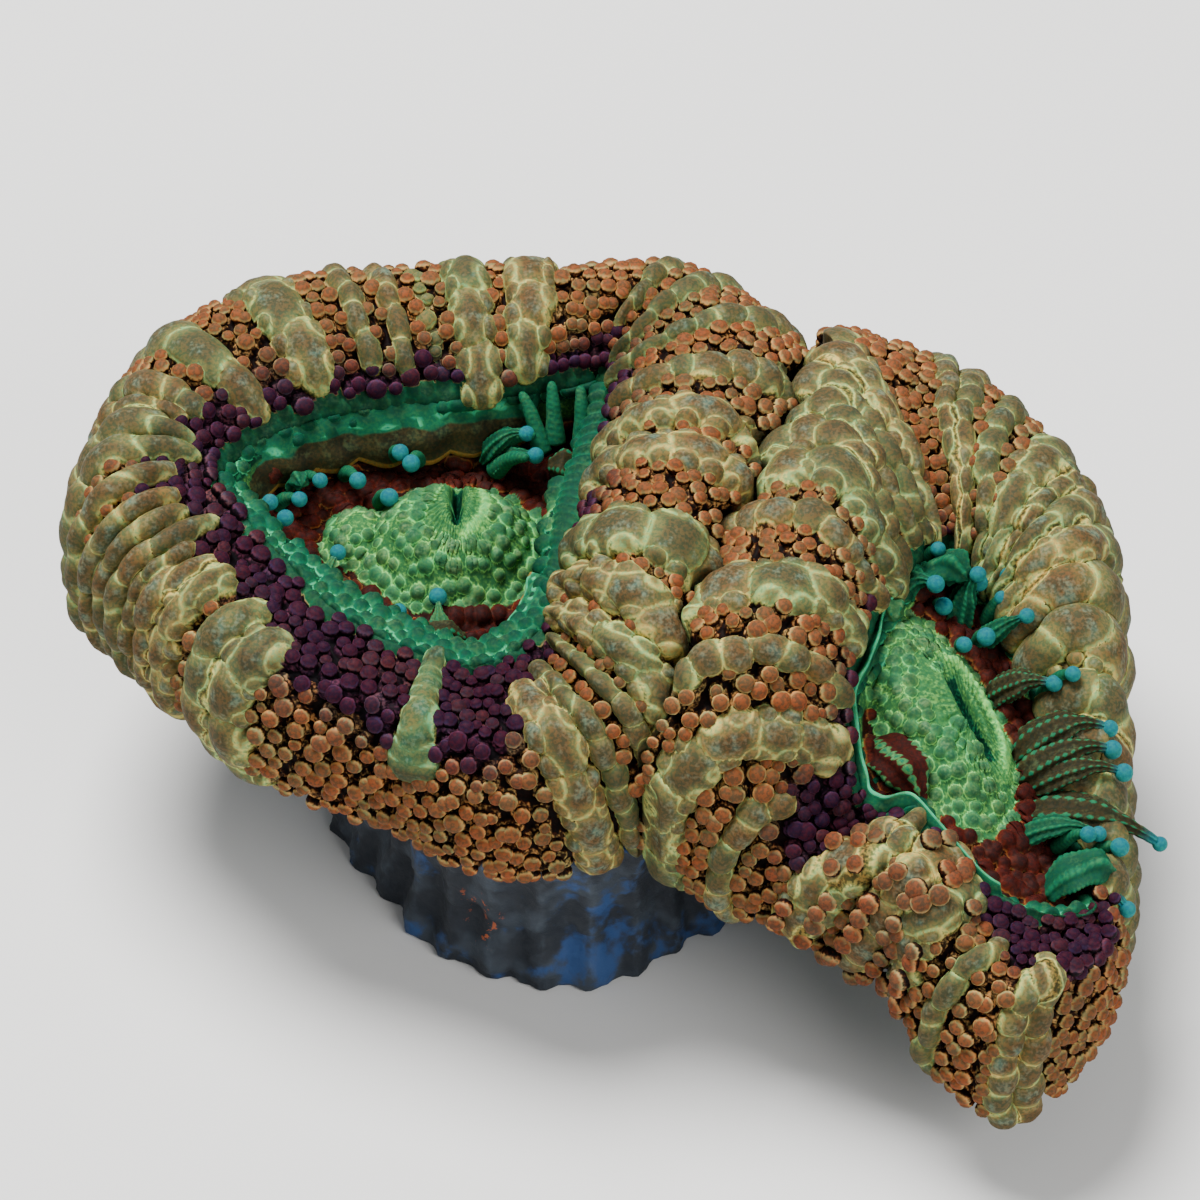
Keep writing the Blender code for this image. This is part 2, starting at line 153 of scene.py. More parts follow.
def closed_curve(points, t):
    """A closed Catmull-Rom curve through the points, read at station numbers t."""
    points = np.asarray(points, float).reshape(len(points), -1)
    count = len(points)
    whole = np.floor(t).astype(int)
    f = (t - whole)[:, None]
    a, b, c, d = (points[(whole + k) % count] for k in (-1, 0, 1, 2))
    return 0.5 * (2 * b + (c - a) * f + (2 * a - 5 * b + 4 * c - d) * f**2 + (3 * b - a - 3 * c + d) * f**3)


def flesh(ring, t, v):
    """The smooth roll at stations t and levels v, arrays alike: 0 lip, 1 crest, 2 outer edge, 3 hem."""
    t = np.asarray(t, float)
    v = np.clip(np.asarray(v, float), 0.0, ROLL_END)
    lip, crest, edge = (closed_curve(column(ring, k), t) for k in range(3))
    inward = (crest - edge) * PLAN
    hem = edge + inward * HEM_SETBACK / np.linalg.norm(inward, axis=1)[:, None]
    hem[:, 2] = closed_curve(column(ring, HEM), t)[:, 0]
    turn = (v % 1 * math.pi / 2)[:, None]
    rising, late = np.sin(turn), 1 - np.cos(turn)
    steep = late * PLAN + rising * LEVEL
    flat = rising * PLAN + late * LEVEL
    first = lip + (crest - lip) * steep
    second = crest + (edge - crest) * flat
    third = edge + (hem - edge) * steep
    part = np.floor(v)[:, None]
    return np.where(part < 1, first, np.where(part < 2, second, third))


def lip_line(ring, t):
    """Points on the lip at stations t."""
    return flesh(ring, t, np.zeros(len(t)))


def outward(ring, t, v):
    """Unit normals of the smooth roll."""
    step = 0.02
    along = flesh(ring, t + step, v) - flesh(ring, t - step, v)
    down = flesh(ring, t, np.minimum(v + step, ROLL_END)) - flesh(ring, t, np.maximum(v - step, 0.0))
    return unit(np.cross(down, along))


def bed(ring, t, v):
    """Points and normals of the bed that the lobes stand on, a little inside the smooth roll."""
    v = np.minimum(v, ROLL_END)
    normals = outward(ring, t, v)
    return flesh(ring, t, v) - normals * FLESH_INSET * np.minimum(v / INSET_LEVEL, 1.0)[:, None], normals


def ring_value(ring, number, t):
    """A number from a ring table, eased between stations."""
    values = np.array(column(ring, number))
    whole = math.floor(t)
    f = smooth(t - whole)
    return values[whole % len(ring)] * (1 - f) + values[(whole + 1) % len(ring)] * f


def beyond_seam(point, side):
    """How far a point lies past the wavy furrow, away from the polyp on this side of it."""
    x, y = point[..., 0] - SEAM_POINT[0], point[..., 1] - SEAM_POINT[1]
    across = (SEAM_RUN[1] * x - SEAM_RUN[0] * y) / SEAM_LENGTH
    run = (SEAM_RUN[0] * x + SEAM_RUN[1] * y) / SEAM_LENGTH
    wave = 0.55 * np.sin(run * 1.15 + 0.4) + 0.3 * np.sin(run * 2.7 + 1.9)
    return (wave - across) * side


def held_back(points, side):
    """Points past the furrow are brought back to it."""
    past = np.clip(beyond_seam(points, side) + SEAM_GAP, 0.0, None) * side
    points[:, 0] += SEAM_RUN[1] / SEAM_LENGTH * past
    points[:, 1] -= SEAM_RUN[0] / SEAM_LENGTH * past
    return points


def crinkle(points, normals, size, height):
    """Fine unevenness of the flesh."""
    rough = np.array([noise.noise(Vector(point) / size) for point in points])
    return points + normals * (rough * height)[:, None]


def eased(value, stops):
    """Piecewise curve through (place, height) stops, eased between them."""
    places, heights = (np.array(numbers) for numbers in zip(*stops))
    value = np.clip(value, places[0], places[-1])
    k = np.clip(np.searchsorted(places, value, side="right") - 1, 0, len(places) - 2)
    f = smooth((value - places[k]) / (places[k + 1] - places[k]))
    return heights[k] * (1 - f) + heights[k + 1] * f


# -------------------- relief on fine sheets

LOOSE = -2.0  # the group of the lobes that stand in no row
NO_LOBE = (0, 0, 0, 1, 0, 0, 0, 0.1)  # what a bare point reads in place of a lobe
# Painted shade: soft lobes are painted darker where they meet in their own row.
CREASED_SOFT = 0.2  # lobes softer than this darken where they meet in their own row
BEAD_BED = 0.62
BURIED = 0.22
BEAD_SEARCH = 0.3

Bead = namedtuple("Bead", "centre normal size rise look")


class Relief:
    """Rounded lobes raised from a sheet of points. Each point keeps the tallest lobe over it, the height
    of the next and the height of the next from another row, so lobes meet in creases."""

    def __init__(self, points, normals):
        self.points = points
        self.normals = normals
        self.order = np.argsort(points[:, 0])
        self.sorted_x = points[self.order, 0]
        self.height, self.next, self.apart = np.zeros((3, len(points)))
        self.group = np.full(len(points), -1.0)
        self.owner = np.full(len(points), -1)
        self.lobes = []

    def nearby(self, x, reach):
        """Numbers of the points whose x is within reach."""
        first, last = np.searchsorted(self.sorted_x, (x - reach, x + reach))
        return self.order[first:last]

    def lobe(self, centre, normal, down, sizes, look, soft, square=2.0, group=LOOSE, dome=0.5):
        """One lobe. Its sizes are the halves across and along and the rise, its look is kind, tone and
        violet, and its group is its row. A square of 2 is an ellipse in plan. The dome is 0.5 for a
        ball's flanks and 1 for gentle ones."""
        across, along, rise = sizes
        reach = max(across, along)
        index = self.nearby(centre[0], reach)
        offset = self.points[index] - centre
        near = (np.abs(offset[:, 1]) < reach) & (np.abs(offset[:, 2]) < reach)
        index, offset = index[near], offset[near]
        down = down - normal * np.dot(down, normal)
        down = down / np.linalg.norm(down)
        x = np.abs(offset @ np.cross(down, normal)) / across
        y = np.abs(offset @ down) / along
        depth = np.abs(offset @ normal) / reach
        inside = 1 - (x**square + y**square) ** (2 / square) - depth**4
        facing = clamp((self.normals[index] @ normal - 0.05) / 0.4)
        height = rise * clamp(inside) ** dome * facing
        was = self.height[index]
        taller = height > was
        self.next[index] = np.where(taller, was, np.maximum(self.next[index], height))
        apart = self.apart[index]
        lower = np.maximum(apart, np.minimum(was, height))
        self.apart[index] = np.where(self.group[index] != group, lower, apart)
        self.group[index[taller]] = group
        self.height[index] = np.maximum(was, height)
        self.owner[index[taller]] = len(self.lobes)
        self.lobes.append((*centre, rise, *look, soft))

    def standing(self, beads):
        """The beads that no lobe has buried."""
        kept = []
        for bead in beads:
            index = self.nearby(bead.centre[0], BEAD_SEARCH)
            nearest = index[np.argmin(np.sum((self.points[index] - bead.centre) ** 2, axis=1))]
            if self.height[nearest] < bead.rise * BEAD_BED + BURIED:
                kept.append(bead)
        return kept

    def result(self, bare, bulge):
        """The raised points, and their paint: kind, way from the crease to the crown, tone, violet."""
        mine = np.array(self.lobes + [NO_LOBE])[self.owner]
        centres, rises, kinds, soft = mine[:, :3], mine[:, 3], mine[:, 4], mine[:, 7]
        bald = self.owner < 0
        gap = self.height - self.next
        merged = self.height + np.where(self.next > 0, np.clip(soft - gap, 0, None) ** 2 / (4 * soft), 0.0)
        inner = 0.25 + 0.75 * clamp(clamp(gap / rises) * 1.4)
        # 0 at the crease, where the palettes paint shade, over a painted bright rim to the crown at 1; a
        # soft lobe is painted darker, as shade, where it meets the next in its own row.
        crease = clamp((self.height - self.apart) / rises) * np.where(soft > CREASED_SOFT, inner, 1.0)
        flank = clamp(self.height / rises)
        flank = np.where(bald, 0.0, 4 * flank * (1 - flank))
        outwards = self.points - centres
        outwards = outwards - self.normals * np.sum(outwards * self.normals, axis=1)[:, None]
        moved = self.points + self.normals * merged[:, None] + outwards * (flank * bulge)[:, None]
        paint = np.column_stack((kinds, crease, mine[:, 5:7]))
        paint[bald] = bare[bald]
        return moved, paint


def painted(kind, rise, tone, violet):
    """Paint for many points. A plain number holds for all of them."""
    return np.column_stack(np.broadcast_arrays(kind, rise, tone, violet))


def painted_body():
    """An empty bmesh whose points carry paint."""
    body = bmesh.new()
    body.verts.layers.float_color.new("paint")
    return body


def place(body, verts, points, paint):
    """Move the points, in millimetres, and paint them."""
    layer = body.verts.layers.float_color["paint"]
    for vert, point, look in zip(verts, points, paint):
        vert.co = point * MM
        vert[layer] = look


def sheet(body, around, down, shaper):
    """A welded ring of quads made from a grid; shaper turns its two shares into points and paint."""
    bmesh.ops.create_grid(body, x_segments=around, y_segments=down, size=0.5)
    hole = 2.0
    for vert in body.verts:
        turn, tilt = vert.co.x * math.tau, vert.co.y * math.tau
        reach = hole + math.cos(tilt)
        vert.co = (reach * math.cos(turn), reach * math.sin(turn), math.sin(tilt))
    bmesh.ops.remove_doubles(body, verts=body.verts[:], dist=1e-5)
    ring = np.array([vert.co[:] for vert in body.verts])
    u = np.arctan2(ring[:, 1], ring[:, 0]) / math.tau % 1
    w = np.arctan2(ring[:, 2], np.hypot(ring[:, 0], ring[:, 1]) - hole) / math.tau % 1
    place(body, body.verts, *shaper(u, w))


def ball(body, around, down, shaper):
    """A ball of quads; shaper turns its bearing and its share from pole to pole into points and paint."""
    verts = bmesh.ops.create_uvsphere(body, u_segments=around, v_segments=down, radius=1.0)["verts"]
    ring = np.array([vert.co[:] for vert in verts])
    u = np.arctan2(ring[:, 1], ring[:, 0]) / math.tau % 1
    w = np.arccos(np.clip(ring[:, 2], -1, 1)) / math.pi
    place(body, verts, *shaper(u, w))


def mesh_from(name, body):
    """A mesh made from the bmesh, which is freed."""
    mesh = bpy.data.meshes.new(name)
    body.to_mesh(mesh)
    body.free()
    return mesh


def linked(name, data):
    """A new object in the scene."""
    made = bpy.data.objects.new(name, data)
    bpy.context.scene.collection.objects.link(made)
    return made


def finished(name, body, material):
    """An object at the origin, shaded smooth, made from the bmesh."""
    bmesh.ops.recalc_face_normals(body, faces=body.faces[:])
    for face in body.faces:
        face.smooth = True
    mesh = mesh_from(name, body)
    mesh.materials.append(material)
    return linked(name, mesh)


# -------------------- the mantle

MANTLE_AROUND = 640
MANTLE_DOWN = 154
ROLL_STOPS = ((0.0, 0.0), (0.25, 1.0), (0.62, 2.0), (0.86, 3.0), (0.93, 4.0), (1.0, 5.0))
UNDERSIDE = 0.68
LEVEL_STEPS = 90
LIP_LEVEL = 0.16
ROW_END = 2.92
FURROW = 0.25
FURROW_WIDTH = 0.9
VIOLET_STRAY = 0.12
LOBE_SOFT = 0.30
LOBE_SQUARE = 2.3
LOBE_BULGE = 0.14
BEAD_PITCH = 0.72
BEAD_SIZE = 0.92
BED_KIND = 0.2
BED_SHADE = 0.11
BAR_SHADE = 1.45
LIP_STEP = 0.05
BATCH = 40


def row_places(rows):
    """Each row's station number, half width in stations, and kind."""
    made = []
    for station, kinds in enumerate(rows):
        total = sum(ROW_WIDTH[kind] for kind in kinds)
        at = 0.0
        for kind in kinds:
            width = ROW_WIDTH[kind] / total
            made.append((station + at + width / 2, width / 2, kind))
            at += width
    return made


def row_path(ring, middle, half):
    """A row from the lip to the hem: levels, stations, points, normals, widths and distances gone."""
    level = np.linspace(LIP_LEVEL, ROW_END, LEVEL_STEPS)
    t = middle + ring_value(ring, LEAN, middle) * (level - 1.0)
    path, normals = bed(ring, t, level)
    widths = np.linalg.norm(flesh(ring, t + half, level) - flesh(ring, t - half, level), axis=1)
    gone = np.concatenate(((0.0,), np.cumsum(np.linalg.norm(np.diff(path, axis=0), axis=1))))
    return level, t, path, normals, widths, gone


def strands(kind, width, pitch, turn):
    """The lobes that stand side by side across a row: offset, slip along it, half sizes, rise."""
    rise = LOBE_RISE[kind] * chance.uniform(0.9, 1.1)
    along = pitch * LOBE_OVERLAP[kind]
    sway = 0.06 * width * turn
    if kind == "S":
        return [(0.0, 0.0, width * 0.54, along, LOBE_RISE[kind])]
    if kind in "Lm":
        return [(sway, 0.0, width * chance.uniform(0.50, 0.58), along, rise)]
    made = []
    if kind in "BR":
        made.append((sway, 0.0, width * 0.50, along, rise))
        for hand, half in ((-1, -0.25), (-1, 0.25), (1, -0.25), (1, 0.25)):
            offset = hand * width * chance.uniform(0.34, 0.42)
            slip = pitch * half + chance.uniform(-0.15, 0.15)
            size = chance.uniform(0.38, 0.56)
            made.append((offset, slip, size, size * 1.2, rise * chance.uniform(0.74, 0.92)))
        return made
    count = max(1, round(width / BEAD_PITCH))
    for number in range(count):
        offset = (number - (count - 1) / 2 + 0.2 * turn + chance.uniform(-0.2, 0.2)) * width / count
        slip = (number % 2 * 0.5 + chance.uniform(-0.18, 0.18)) * pitch
        across = min(width / count, pitch * 1.2) * 0.57 * chance.uniform(0.84, 1.10)
        rising = rise * min(1.0, 0.45 + across)
        made.append((offset, slip, across, along * chance.uniform(0.88, 1.1), rising))
    return made


def dress_row(relief, beads, bumps, ring, row, side):
    """Raise one row's lobes, from the lip to the hem, and note where its beads and red bumps sit."""
    middle, half, kind = row
    level, t, path, normals, widths, gone = row_path(ring, middle, half)
    bar = kind == "S"
    stray = 0.0 if bar else 0.15
    at = chance.uniform(0.0, 0.5)
    row_tone = chance.random()
    turn = 1
    while at < gone[-1]:
        k = min(max(int(np.searchsorted(gone, at)), 1), LEVEL_STEPS - 2)
        band = ring_value(ring, BAND, t[k])
        violet = not bar and level[k] < band + chance.uniform(-VIOLET_STRAY, VIOLET_STRAY)
        here = "b" if violet and kind != "n" else kind
        width = float(np.clip(widths[k], 0.5, 3.4))
        if bar and level[k] > BAR_END - 0.2:
            here = "S" if level[k] < BAR_END else "b"
            width *= BAR_BLOB
        pitch = LOBE_PITCH[here] * chance.uniform(0.8, 1.25)
        broad = here in BROAD_KINDS
        normal = normals[k]
        down = path[k + 1] - path[k - 1]
        down /= np.linalg.norm(down)
        sideways = np.cross(down, normal)
        away = abs(level[k] - band)
        fading = 0.35 - away * 1.5 if broad else 0.62 - away
        purple = 1.0 if violet else max(0.0, fading) * (not bar)
        tone = 0.45 * row_tone + 0.55 * chance.random()
        for offset, slip, across, along, rise in strands(here, width, pitch, turn):
            centre = path[k] + sideways * offset + down * slip
            if beyond_seam(centre, side) / along > (0.4 if broad else -0.15):
                continue
            shade = LOBE_KIND[here] + chance.uniform(-stray, stray)
            look = (shade, tone + chance.uniform(-stray, stray), purple)
            if broad:
                sizes = (across, along, rise)
                relief.lobe(centre, normal, down, sizes, look, LOBE_SOFT, LOBE_SQUARE, middle)
                if here == "R" and rise < 0.9 * LOBE_RISE["R"]:
                    red = (0.0, chance.random(), RED_VIOLET)
                    bumps.append(Bead(centre, normal, RED_BUMP, rise + 0.25, red))
                continue
            look = (*look[:2], max(0.0, purple + chance.uniform(-0.26, 0.0)))
            relief.lobe(centre, normal, down, (across, along, rise * BEAD_BED), look, soft=0.05)
            beads.append(Bead(centre, normal, (across + along) / 2, rise, look))
        turn = -turn
        at += pitch


def dress_lip(relief, ring):
    """The green lip: small bumps in rows along the edge of the disc."""
    for height, pitch, size in ((0.02, 0.62, 0.42), (0.12, 0.7, 0.44)):
        level = np.array([height])
        t = 0.0
        while t < len(ring):
            station = np.array([t])
            centre = flesh(ring, station, level)[0]
            run = (flesh(ring, station + LIP_STEP, level)[0] - centre) / LIP_STEP
            normal = outward(ring, station, level)[0]
            across = size * chance.uniform(0.85, 1.15)
            rise = 0.32 * chance.uniform(0.7, 1.2)
            look = (2.0 + chance.uniform(-0.1, 0.1), chance.random(), 0.0)
            relief.lobe(centre, normal, np.cross(run, normal), (across, across * 1.1, rise), look, soft=0.08)
            t += pitch * chance.uniform(0.85, 1.15) / np.linalg.norm(run)


def bare_mantle(ring, t, v):
    """Paint between the lobes, all in the crease colour, painted shade: green at the lip, violet down to the
    band, brown below it.
    """
    bands = np.interp(t, range(len(ring) + 1), column((*ring, ring[0]), BAND))
    violet = np.where((v < bands) & (v >= LIP_LEVEL), 1.0, 0.0)
    return painted(np.where(v < LIP_LEVEL, 2.0, 0.1), -0.1, 0.5, violet)


def mantle(name, ring, rows, side):
    """The roll of flesh round a disc, a closed tube in the round, and the beads that stand on it."""
    beads = []

    def shaper(u, w):
        t = u * len(ring)
        v = np.interp(w, *zip(*ROLL_STOPS))
        roll, normals = bed(ring, t, v)
        lip = lip_line(ring, t)
        hub = np.array([*np.mean(lip, axis=0)[:2], FOOT_TOP])
        inner = hub + (roll - hub) * UNDERSIDE
        inner[:, 2] = FOOT_TOP
        points = roll + (inner - roll) * clamp(v - 3)[:, None]
        points = points + (lip - points) * clamp(v - 4)[:, None]
        dip = bell(beyond_seam(points, side) / FURROW_WIDTH) * (v < 3)
        points -= normals * (FURROW * dip)[:, None]
        normals[v > 3.0] = -LEVEL
        relief = Relief(points, normals)
        bumps = []
        for row in row_places(rows):
            dress_row(relief, beads, bumps, ring, row, side)
        beads[:] = relief.standing(beads) + bumps
        dress_lip(relief, ring)
        moved, paint = relief.result(bare_mantle(ring, t, v), LOBE_BULGE)
        # The beds under the beads are held to the colours near the crease: painted shade between the beads.
        under_beads = paint[:, 0] < BED_KIND
        paint[under_beads, 1] = np.minimum(paint[under_beads, 1], BED_SHADE)
        paint[paint[:, 0] == LOBE_KIND["S"], 1] *= BAR_SHADE
        return held_back(crinkle(moved, normals, 0.5, 0.06), side), paint

    body = painted_body()
    sheet(body, MANTLE_AROUND, MANTLE_DOWN, shaper)
    return finished(f"{name}_mantle", body, MANTLE_FLESH), bead_crowd(f"{name}_beads", beads)


def bead_crowd(name, beads):
    """Round beads: balls a little sunk in their beds. They are made in small batches, which is faster."""
    whole = painted_body()
    for first in range(0, len(beads), BATCH):
        batch = painted_body()
        layer = batch.verts.layers.float_color["paint"]
        for bead in beads[first : first + BATCH]:
            radius = BEAD_SIZE * min(bead.size, 0.52) * chance.uniform(0.86, 1.10)
            normal = Vector(bead.normal)
            middle = Vector(bead.centre) + normal * (bead.rise - radius * 0.5)
            stretch = Vector([chance.uniform(0.94, 1.06) for _ in range(3)])
            kind, tone, violet = bead.look
            # Each bead is painted by its height along its normal: its lower half in the crease colour,
            # painted shade, a band above its middle in the painted bright rim light, its top towards the
            # crown.
            for vert in bmesh.ops.create_icosphere(batch, subdivisions=2, radius=1.0)["verts"]:
                vert[layer] = (kind, max(0.02 + 0.58 * vert.co.dot(normal), 0.0), tone, violet)
                vert.co = (middle + vert.co * stretch * radius) * MM
        mesh = mesh_from("batch", batch)
        whole.from_mesh(mesh)
        bpy.data.meshes.remove(mesh)
    return finished(name, whole, MANTLE_FLESH)


# -------------------- the oral discs

DISC_DOWN = 116
TOP_SHARE = 0.80  # of the way from pole to pole, where the disc reaches its lip
TURN_IN = 0.1  # the same, from the lip to the foot of the plug and from there to its middle
DISC_LIFT = 0.1
SHELF_DROP = 0.5
SLIT_DEPTH = 1.5
RIM_RISE = 0.22
PLEATS = 46
PLEAT_RISE = 0.05
JITTER = 0.25
FAR = 99.0
NO_BUMPS = -math.inf

# Bumps on one zone of a disc: their spacing, kind, radius and rise, from where to where on the dome,
# from where to where past the shelf, and how gentle their flanks are.
Zone = namedtuple("Zone", "spacing kind radius rise low high outer inner dome")


def dome_moat_and_shelf(top, foot):
    """The zones of a disc whose bumps start at top on its dome and whose dome ends at foot."""
    return (
        Zone(0.66, 1.0, 0.34, 0.26, top, foot, 0.0, FAR, 0.8),
        Zone(0.62, 0.0, 0.40, 0.50, foot, FAR, 0.3, FAR, 0.5),
        Zone(0.74, 2.0, 0.42, 0.48, 0.0, FAR, -FAR, 0.2, 0.6),
    )


@dataclass
class Disc:
    """An oral disc: a dome with a slit in a moat, inside the lip. Turns are in degrees."""

    ring: list
    mouth: tuple
    dome: tuple
    dome_size: tuple
    dome_turn: float
    depth: float  # of the moat
    slit: tuple
    slit_turn: float
    fold: float  # the rise of the skin beside the slit
    shelves: tuple  # how wide the green shelf is at each station
    zones: tuple
    mounds: tuple = ()  # small ones beside the dome: x, y, radius and rise
    ropes: tuple = ()  # stretches of the shelf that look like rope, in stations

    def __post_init__(self):
        lips = np.array(column(self.ring, 0))
        spread = np.column_stack((lips[:, :2] - self.mouth[:2], np.ones(len(lips))))
        self.slope = np.linalg.lstsq(spread, lips[:, 2], rcond=None)[0][:2]

    def turned(self, plan, origin, turn):
        """Places in plan as seen from an origin, after a turn."""
        x, y = plan[:, 0] - origin[0], plan[:, 1] - origin[1]
        c, s = math.cos(math.radians(turn)), math.sin(math.radians(turn))
        return x * c + y * s, -x * s + y * c

    def from_slit(self, plan):
        """Places in plan, across the slit and along it."""
        return self.turned(plan, self.mouth, self.slit_turn)

    def from_lip(self, lip, share):
        """Distance in plan from the lip."""
        return (1 - share) * np.linalg.norm((lip - self.mouth)[:, :2], axis=1)

    def reach(self, plan):
        """0 at the middle of the dome, 1 at its foot."""
        x, y = self.turned(plan, self.dome, self.dome_turn)
        return np.hypot(x / self.dome_size[0], y / self.dome_size[1])

    def shelf(self, t):
        """Width of the green shelf inside the lip."""
        return closed_curve(self.shelves, t)[:, 0]

    def from_mounds(self, plan):
        """Each small mound's rise, and the way from its middle, 0, to its foot, 1."""
        for x, y, radius, rise in self.mounds:
            yield rise, np.hypot(plan[:, 0] - x, plan[:, 1] - y) / radius

    def zone_reach(self, plan):
        """As reach, with the small mounds counted in."""
        return np.min([self.reach(plan), *(near for _, near in self.from_mounds(plan))], axis=0)

    def on_mound(self, plan):
        """Height on the small mounds beside the dome."""
        best = np.zeros(len(plan))
        for rise, near in self.from_mounds(plan):
            best = np.maximum(best, rise * clamp(1 - near**2))
        return best

    def surface(self, t, share):
        """Points of the bare disc at stations t and shares of the way from the mouth to the lip."""
        lip = lip_line(self.ring, t)
        points = self.mouth + (lip - self.mouth) * share[:, None]
        level = self.mouth[2] + (points[:, :2] - self.mouth[:2]) @ self.slope
        dome = ((0.0, 0.0), (0.45, -0.25), (1.0, -0.8 * self.depth), (1.3, -self.depth))
        top = level + eased(self.reach(points), dome)
        inside = self.from_lip(lip, share)
        shelf = self.shelf(t)
        brink = lip[:, 2] - SHELF_DROP * clamp(inside / shelf) ** 1.5
        fall = eased(inside - shelf, ((0.0, 0.0), (0.9, 1.0)))
        edge = brink + (level - self.depth + self.on_mound(points) - brink) * fall
        groove, raised = self.mouth_relief(points)
        points[:, 2] = np.maximum(top - groove + raised, edge)
        return points

    def mouth_relief(self, points):
        """The depth of the slit, and the rise of its rim, its pleats and the fold beside it."""
        x, y = self.from_slit(points)
        y_share = y / (self.slit[1] + 0.7)
        near = np.hypot(x, y_share)
        groove = SLIT_DEPTH * np.exp(-((x / self.slit[0]) ** 2) - (y / self.slit[1]) ** 4)
        rim = bell((near - 0.62) / 0.3)
        pleats = PLEAT_RISE * np.cos(PLEATS * np.arctan2(y_share, x)) * bell((near - 1.2) / 0.6)
        return groove, self.fold * self.folded(points) + RIM_RISE * rim + pleats

    def folded(self, points):
        """The curved fold of skin on one side of the slit."""
        x, y = self.from_slit(points)
        near = np.hypot((x + 0.5) / 1.8, y / (self.slit[1] + 0.9))
        return bell((near - 1.0) / 0.14) * clamp(x / 0.6)

    def by_slit(self, spot):
        """Whether a spot is on the smooth skin round the slit and its fold."""
        x, y = (float(value[0]) for value in self.from_slit(spot[None, :]))
        in_fold = x > 0 and math.hypot((x + 0.5) / 2.1, y / (self.slit[1] + 1.1)) < 1
        return in_fold or math.hypot(x / (self.slit[0] + 0.6), y / (self.slit[1] + 0.5)) < 1

    def normals(self, t, share):
        """Unit normals of the bare disc, straight up at the mouth."""
        step = 0.004
        along = self.surface(t + step * 3, share) - self.surface(t - step * 3, share)
        out = self.surface(t, np.minimum(share + step, 1.0)) - self.surface(t, np.maximum(share - step, 0.0))
        normal = np.cross(out, along)
        normal[np.linalg.norm(normal, axis=1) < 1e-9] = LEVEL
        return unit(normal)

    def bumps(self, relief, past_shelf, zone):
        """Raise bumps over one zone of the disc, on a loose six-sided grid."""
        reach = self.zone_reach(relief.points)
        low, high = relief.points.min(axis=0), relief.points.max(axis=0)
        y = low[1]
        line = 0
        while y < high[1]:
            x = low[0] + (line % 2) * zone.spacing / 2
            while x < high[0]:
                stray = [chance.uniform(-JITTER, JITTER) * zone.spacing for _ in "xy"]
                spot = np.array((x, y)) + stray
                x += zone.spacing
                off = np.abs(relief.points[:, :2] - spot).sum(axis=1)
                k = int(np.argmin(np.where(past_shelf == NO_BUMPS, FAR, off)))
                in_zone = zone.low <= reach[k] < zone.high and zone.outer <= past_shelf[k] < zone.inner
                if off[k] > 0.2 or not in_zone or self.by_slit(spot):
                    continue
                size = zone.radius * chance.uniform(0.75, 1.25)
                look = (zone.kind + chance.uniform(-0.1, 0.1), chance.random(), 0.0)
                sizes = (size, size, zone.rise * size / zone.radius)
                across = np.array((1.0, 0.0, 0.0))
                relief.lobe(relief.points[k], relief.normals[k], across, sizes, look, 0.04, dome=zone.dome)
            y += zone.spacing * 0.87
            line += 1

    def rope(self, relief, start, end):
        """A band of narrow bumps that lie across the shelf, like the lay of a rope."""
        t = start
        while t < end:
            station = np.array([t])
            lip = lip_line(self.ring, station)[0]
            inward = (self.mouth - lip) * PLAN
            width = np.linalg.norm(inward)
            shelf = self.shelf(station)[0]
            share = np.array([1 - 0.5 * shelf / width])
            centre = self.surface(station, share)[0]
            sizes = (0.36, shelf * 0.5 * chance.uniform(0.85, 1.1), 0.55)
            look = (2.0, chance.random(), 0.0)
            slant = inward / width + (0.0, 0.35, 0.0)
            relief.lobe(centre, self.normals(station, share)[0], slant, sizes, look, soft=0.05)
            step = lip_line(self.ring, station + LIP_STEP)[0] - lip
            t += LIP_STEP * 0.66 * chance.uniform(0.85, 1.15) / np.linalg.norm(step)

    def bare_skin(self, points, inside, shelf):
        """Paint between the bumps, in the crease colours, painted shade: the dome, the moat and the shelf,
        and the slit darkest; the fold's crest takes the painted bright rim light.
        """
        domed = np.maximum(clamp((1.10 - self.reach(points)) / 0.15), clamp(self.on_mound(points) * 3))
        kind = domed + (2 - domed) * clamp((shelf + 0.5 - inside) / 0.5)
        x, y = self.from_slit(points)
        in_slit = (np.abs(x) < self.slit[0]) & (np.abs(y) < self.slit[1])
        # The slit takes the darkest colour of its palette: painted shade.
        kind[in_slit] = 2.0
        return painted(kind, 0.26 * self.folded(points), np.where(in_slit, -1.5, 0.5), 0.0)

    def made(self, name, around):
        """The disc as a closed plug, from the mouth over the lip to the flat underneath."""

        def shaper(u, w):
            t = u * len(self.ring)
            share = clamp(w / TOP_SHARE) ** 0.72
            points = self.surface(t, share)
            normals = self.normals(t, share)
            under = w > TOP_SHARE
            hub = np.array([*np.mean(column(self.ring, 0), axis=0)[:2], FOOT_TOP])
            foot = hub + (points - hub) * 0.80
            foot[:, 2] = FOOT_TOP + DISC_LIFT
            points = points + (foot - points) * clamp((w - TOP_SHARE) / TURN_IN)[:, None]
            shut = clamp((w - TOP_SHARE - TURN_IN) / TURN_IN)[:, None]
            points = points + (hub + (0, 0, DISC_LIFT) - points) * shut
            points[:, 2] -= 0.12 * (share > 0.99)
            normals[under] = -LEVEL
            relief = Relief(points, normals)
            inside = self.from_lip(lip_line(self.ring, t), share)
            shelf = self.shelf(t)
            roped = np.zeros(len(t), bool)
            for start, end in self.ropes:
                roped |= (t > start) & (t < end)
            past_shelf = np.where(under | (roped & (inside < shelf)), NO_BUMPS, inside - shelf)
            for zone in self.zones:
                self.bumps(relief, past_shelf, zone)
            for start, end in self.ropes:
                self.rope(relief, start, end)
            moved, paint = relief.result(self.bare_skin(points, inside, shelf), 0.05)
            return crinkle(moved, normals, 0.35, 0.05), paint

        body = painted_body()
        ball(body, around, DISC_DOWN, shaper)
        return finished(name, body, DISC_FLESH)


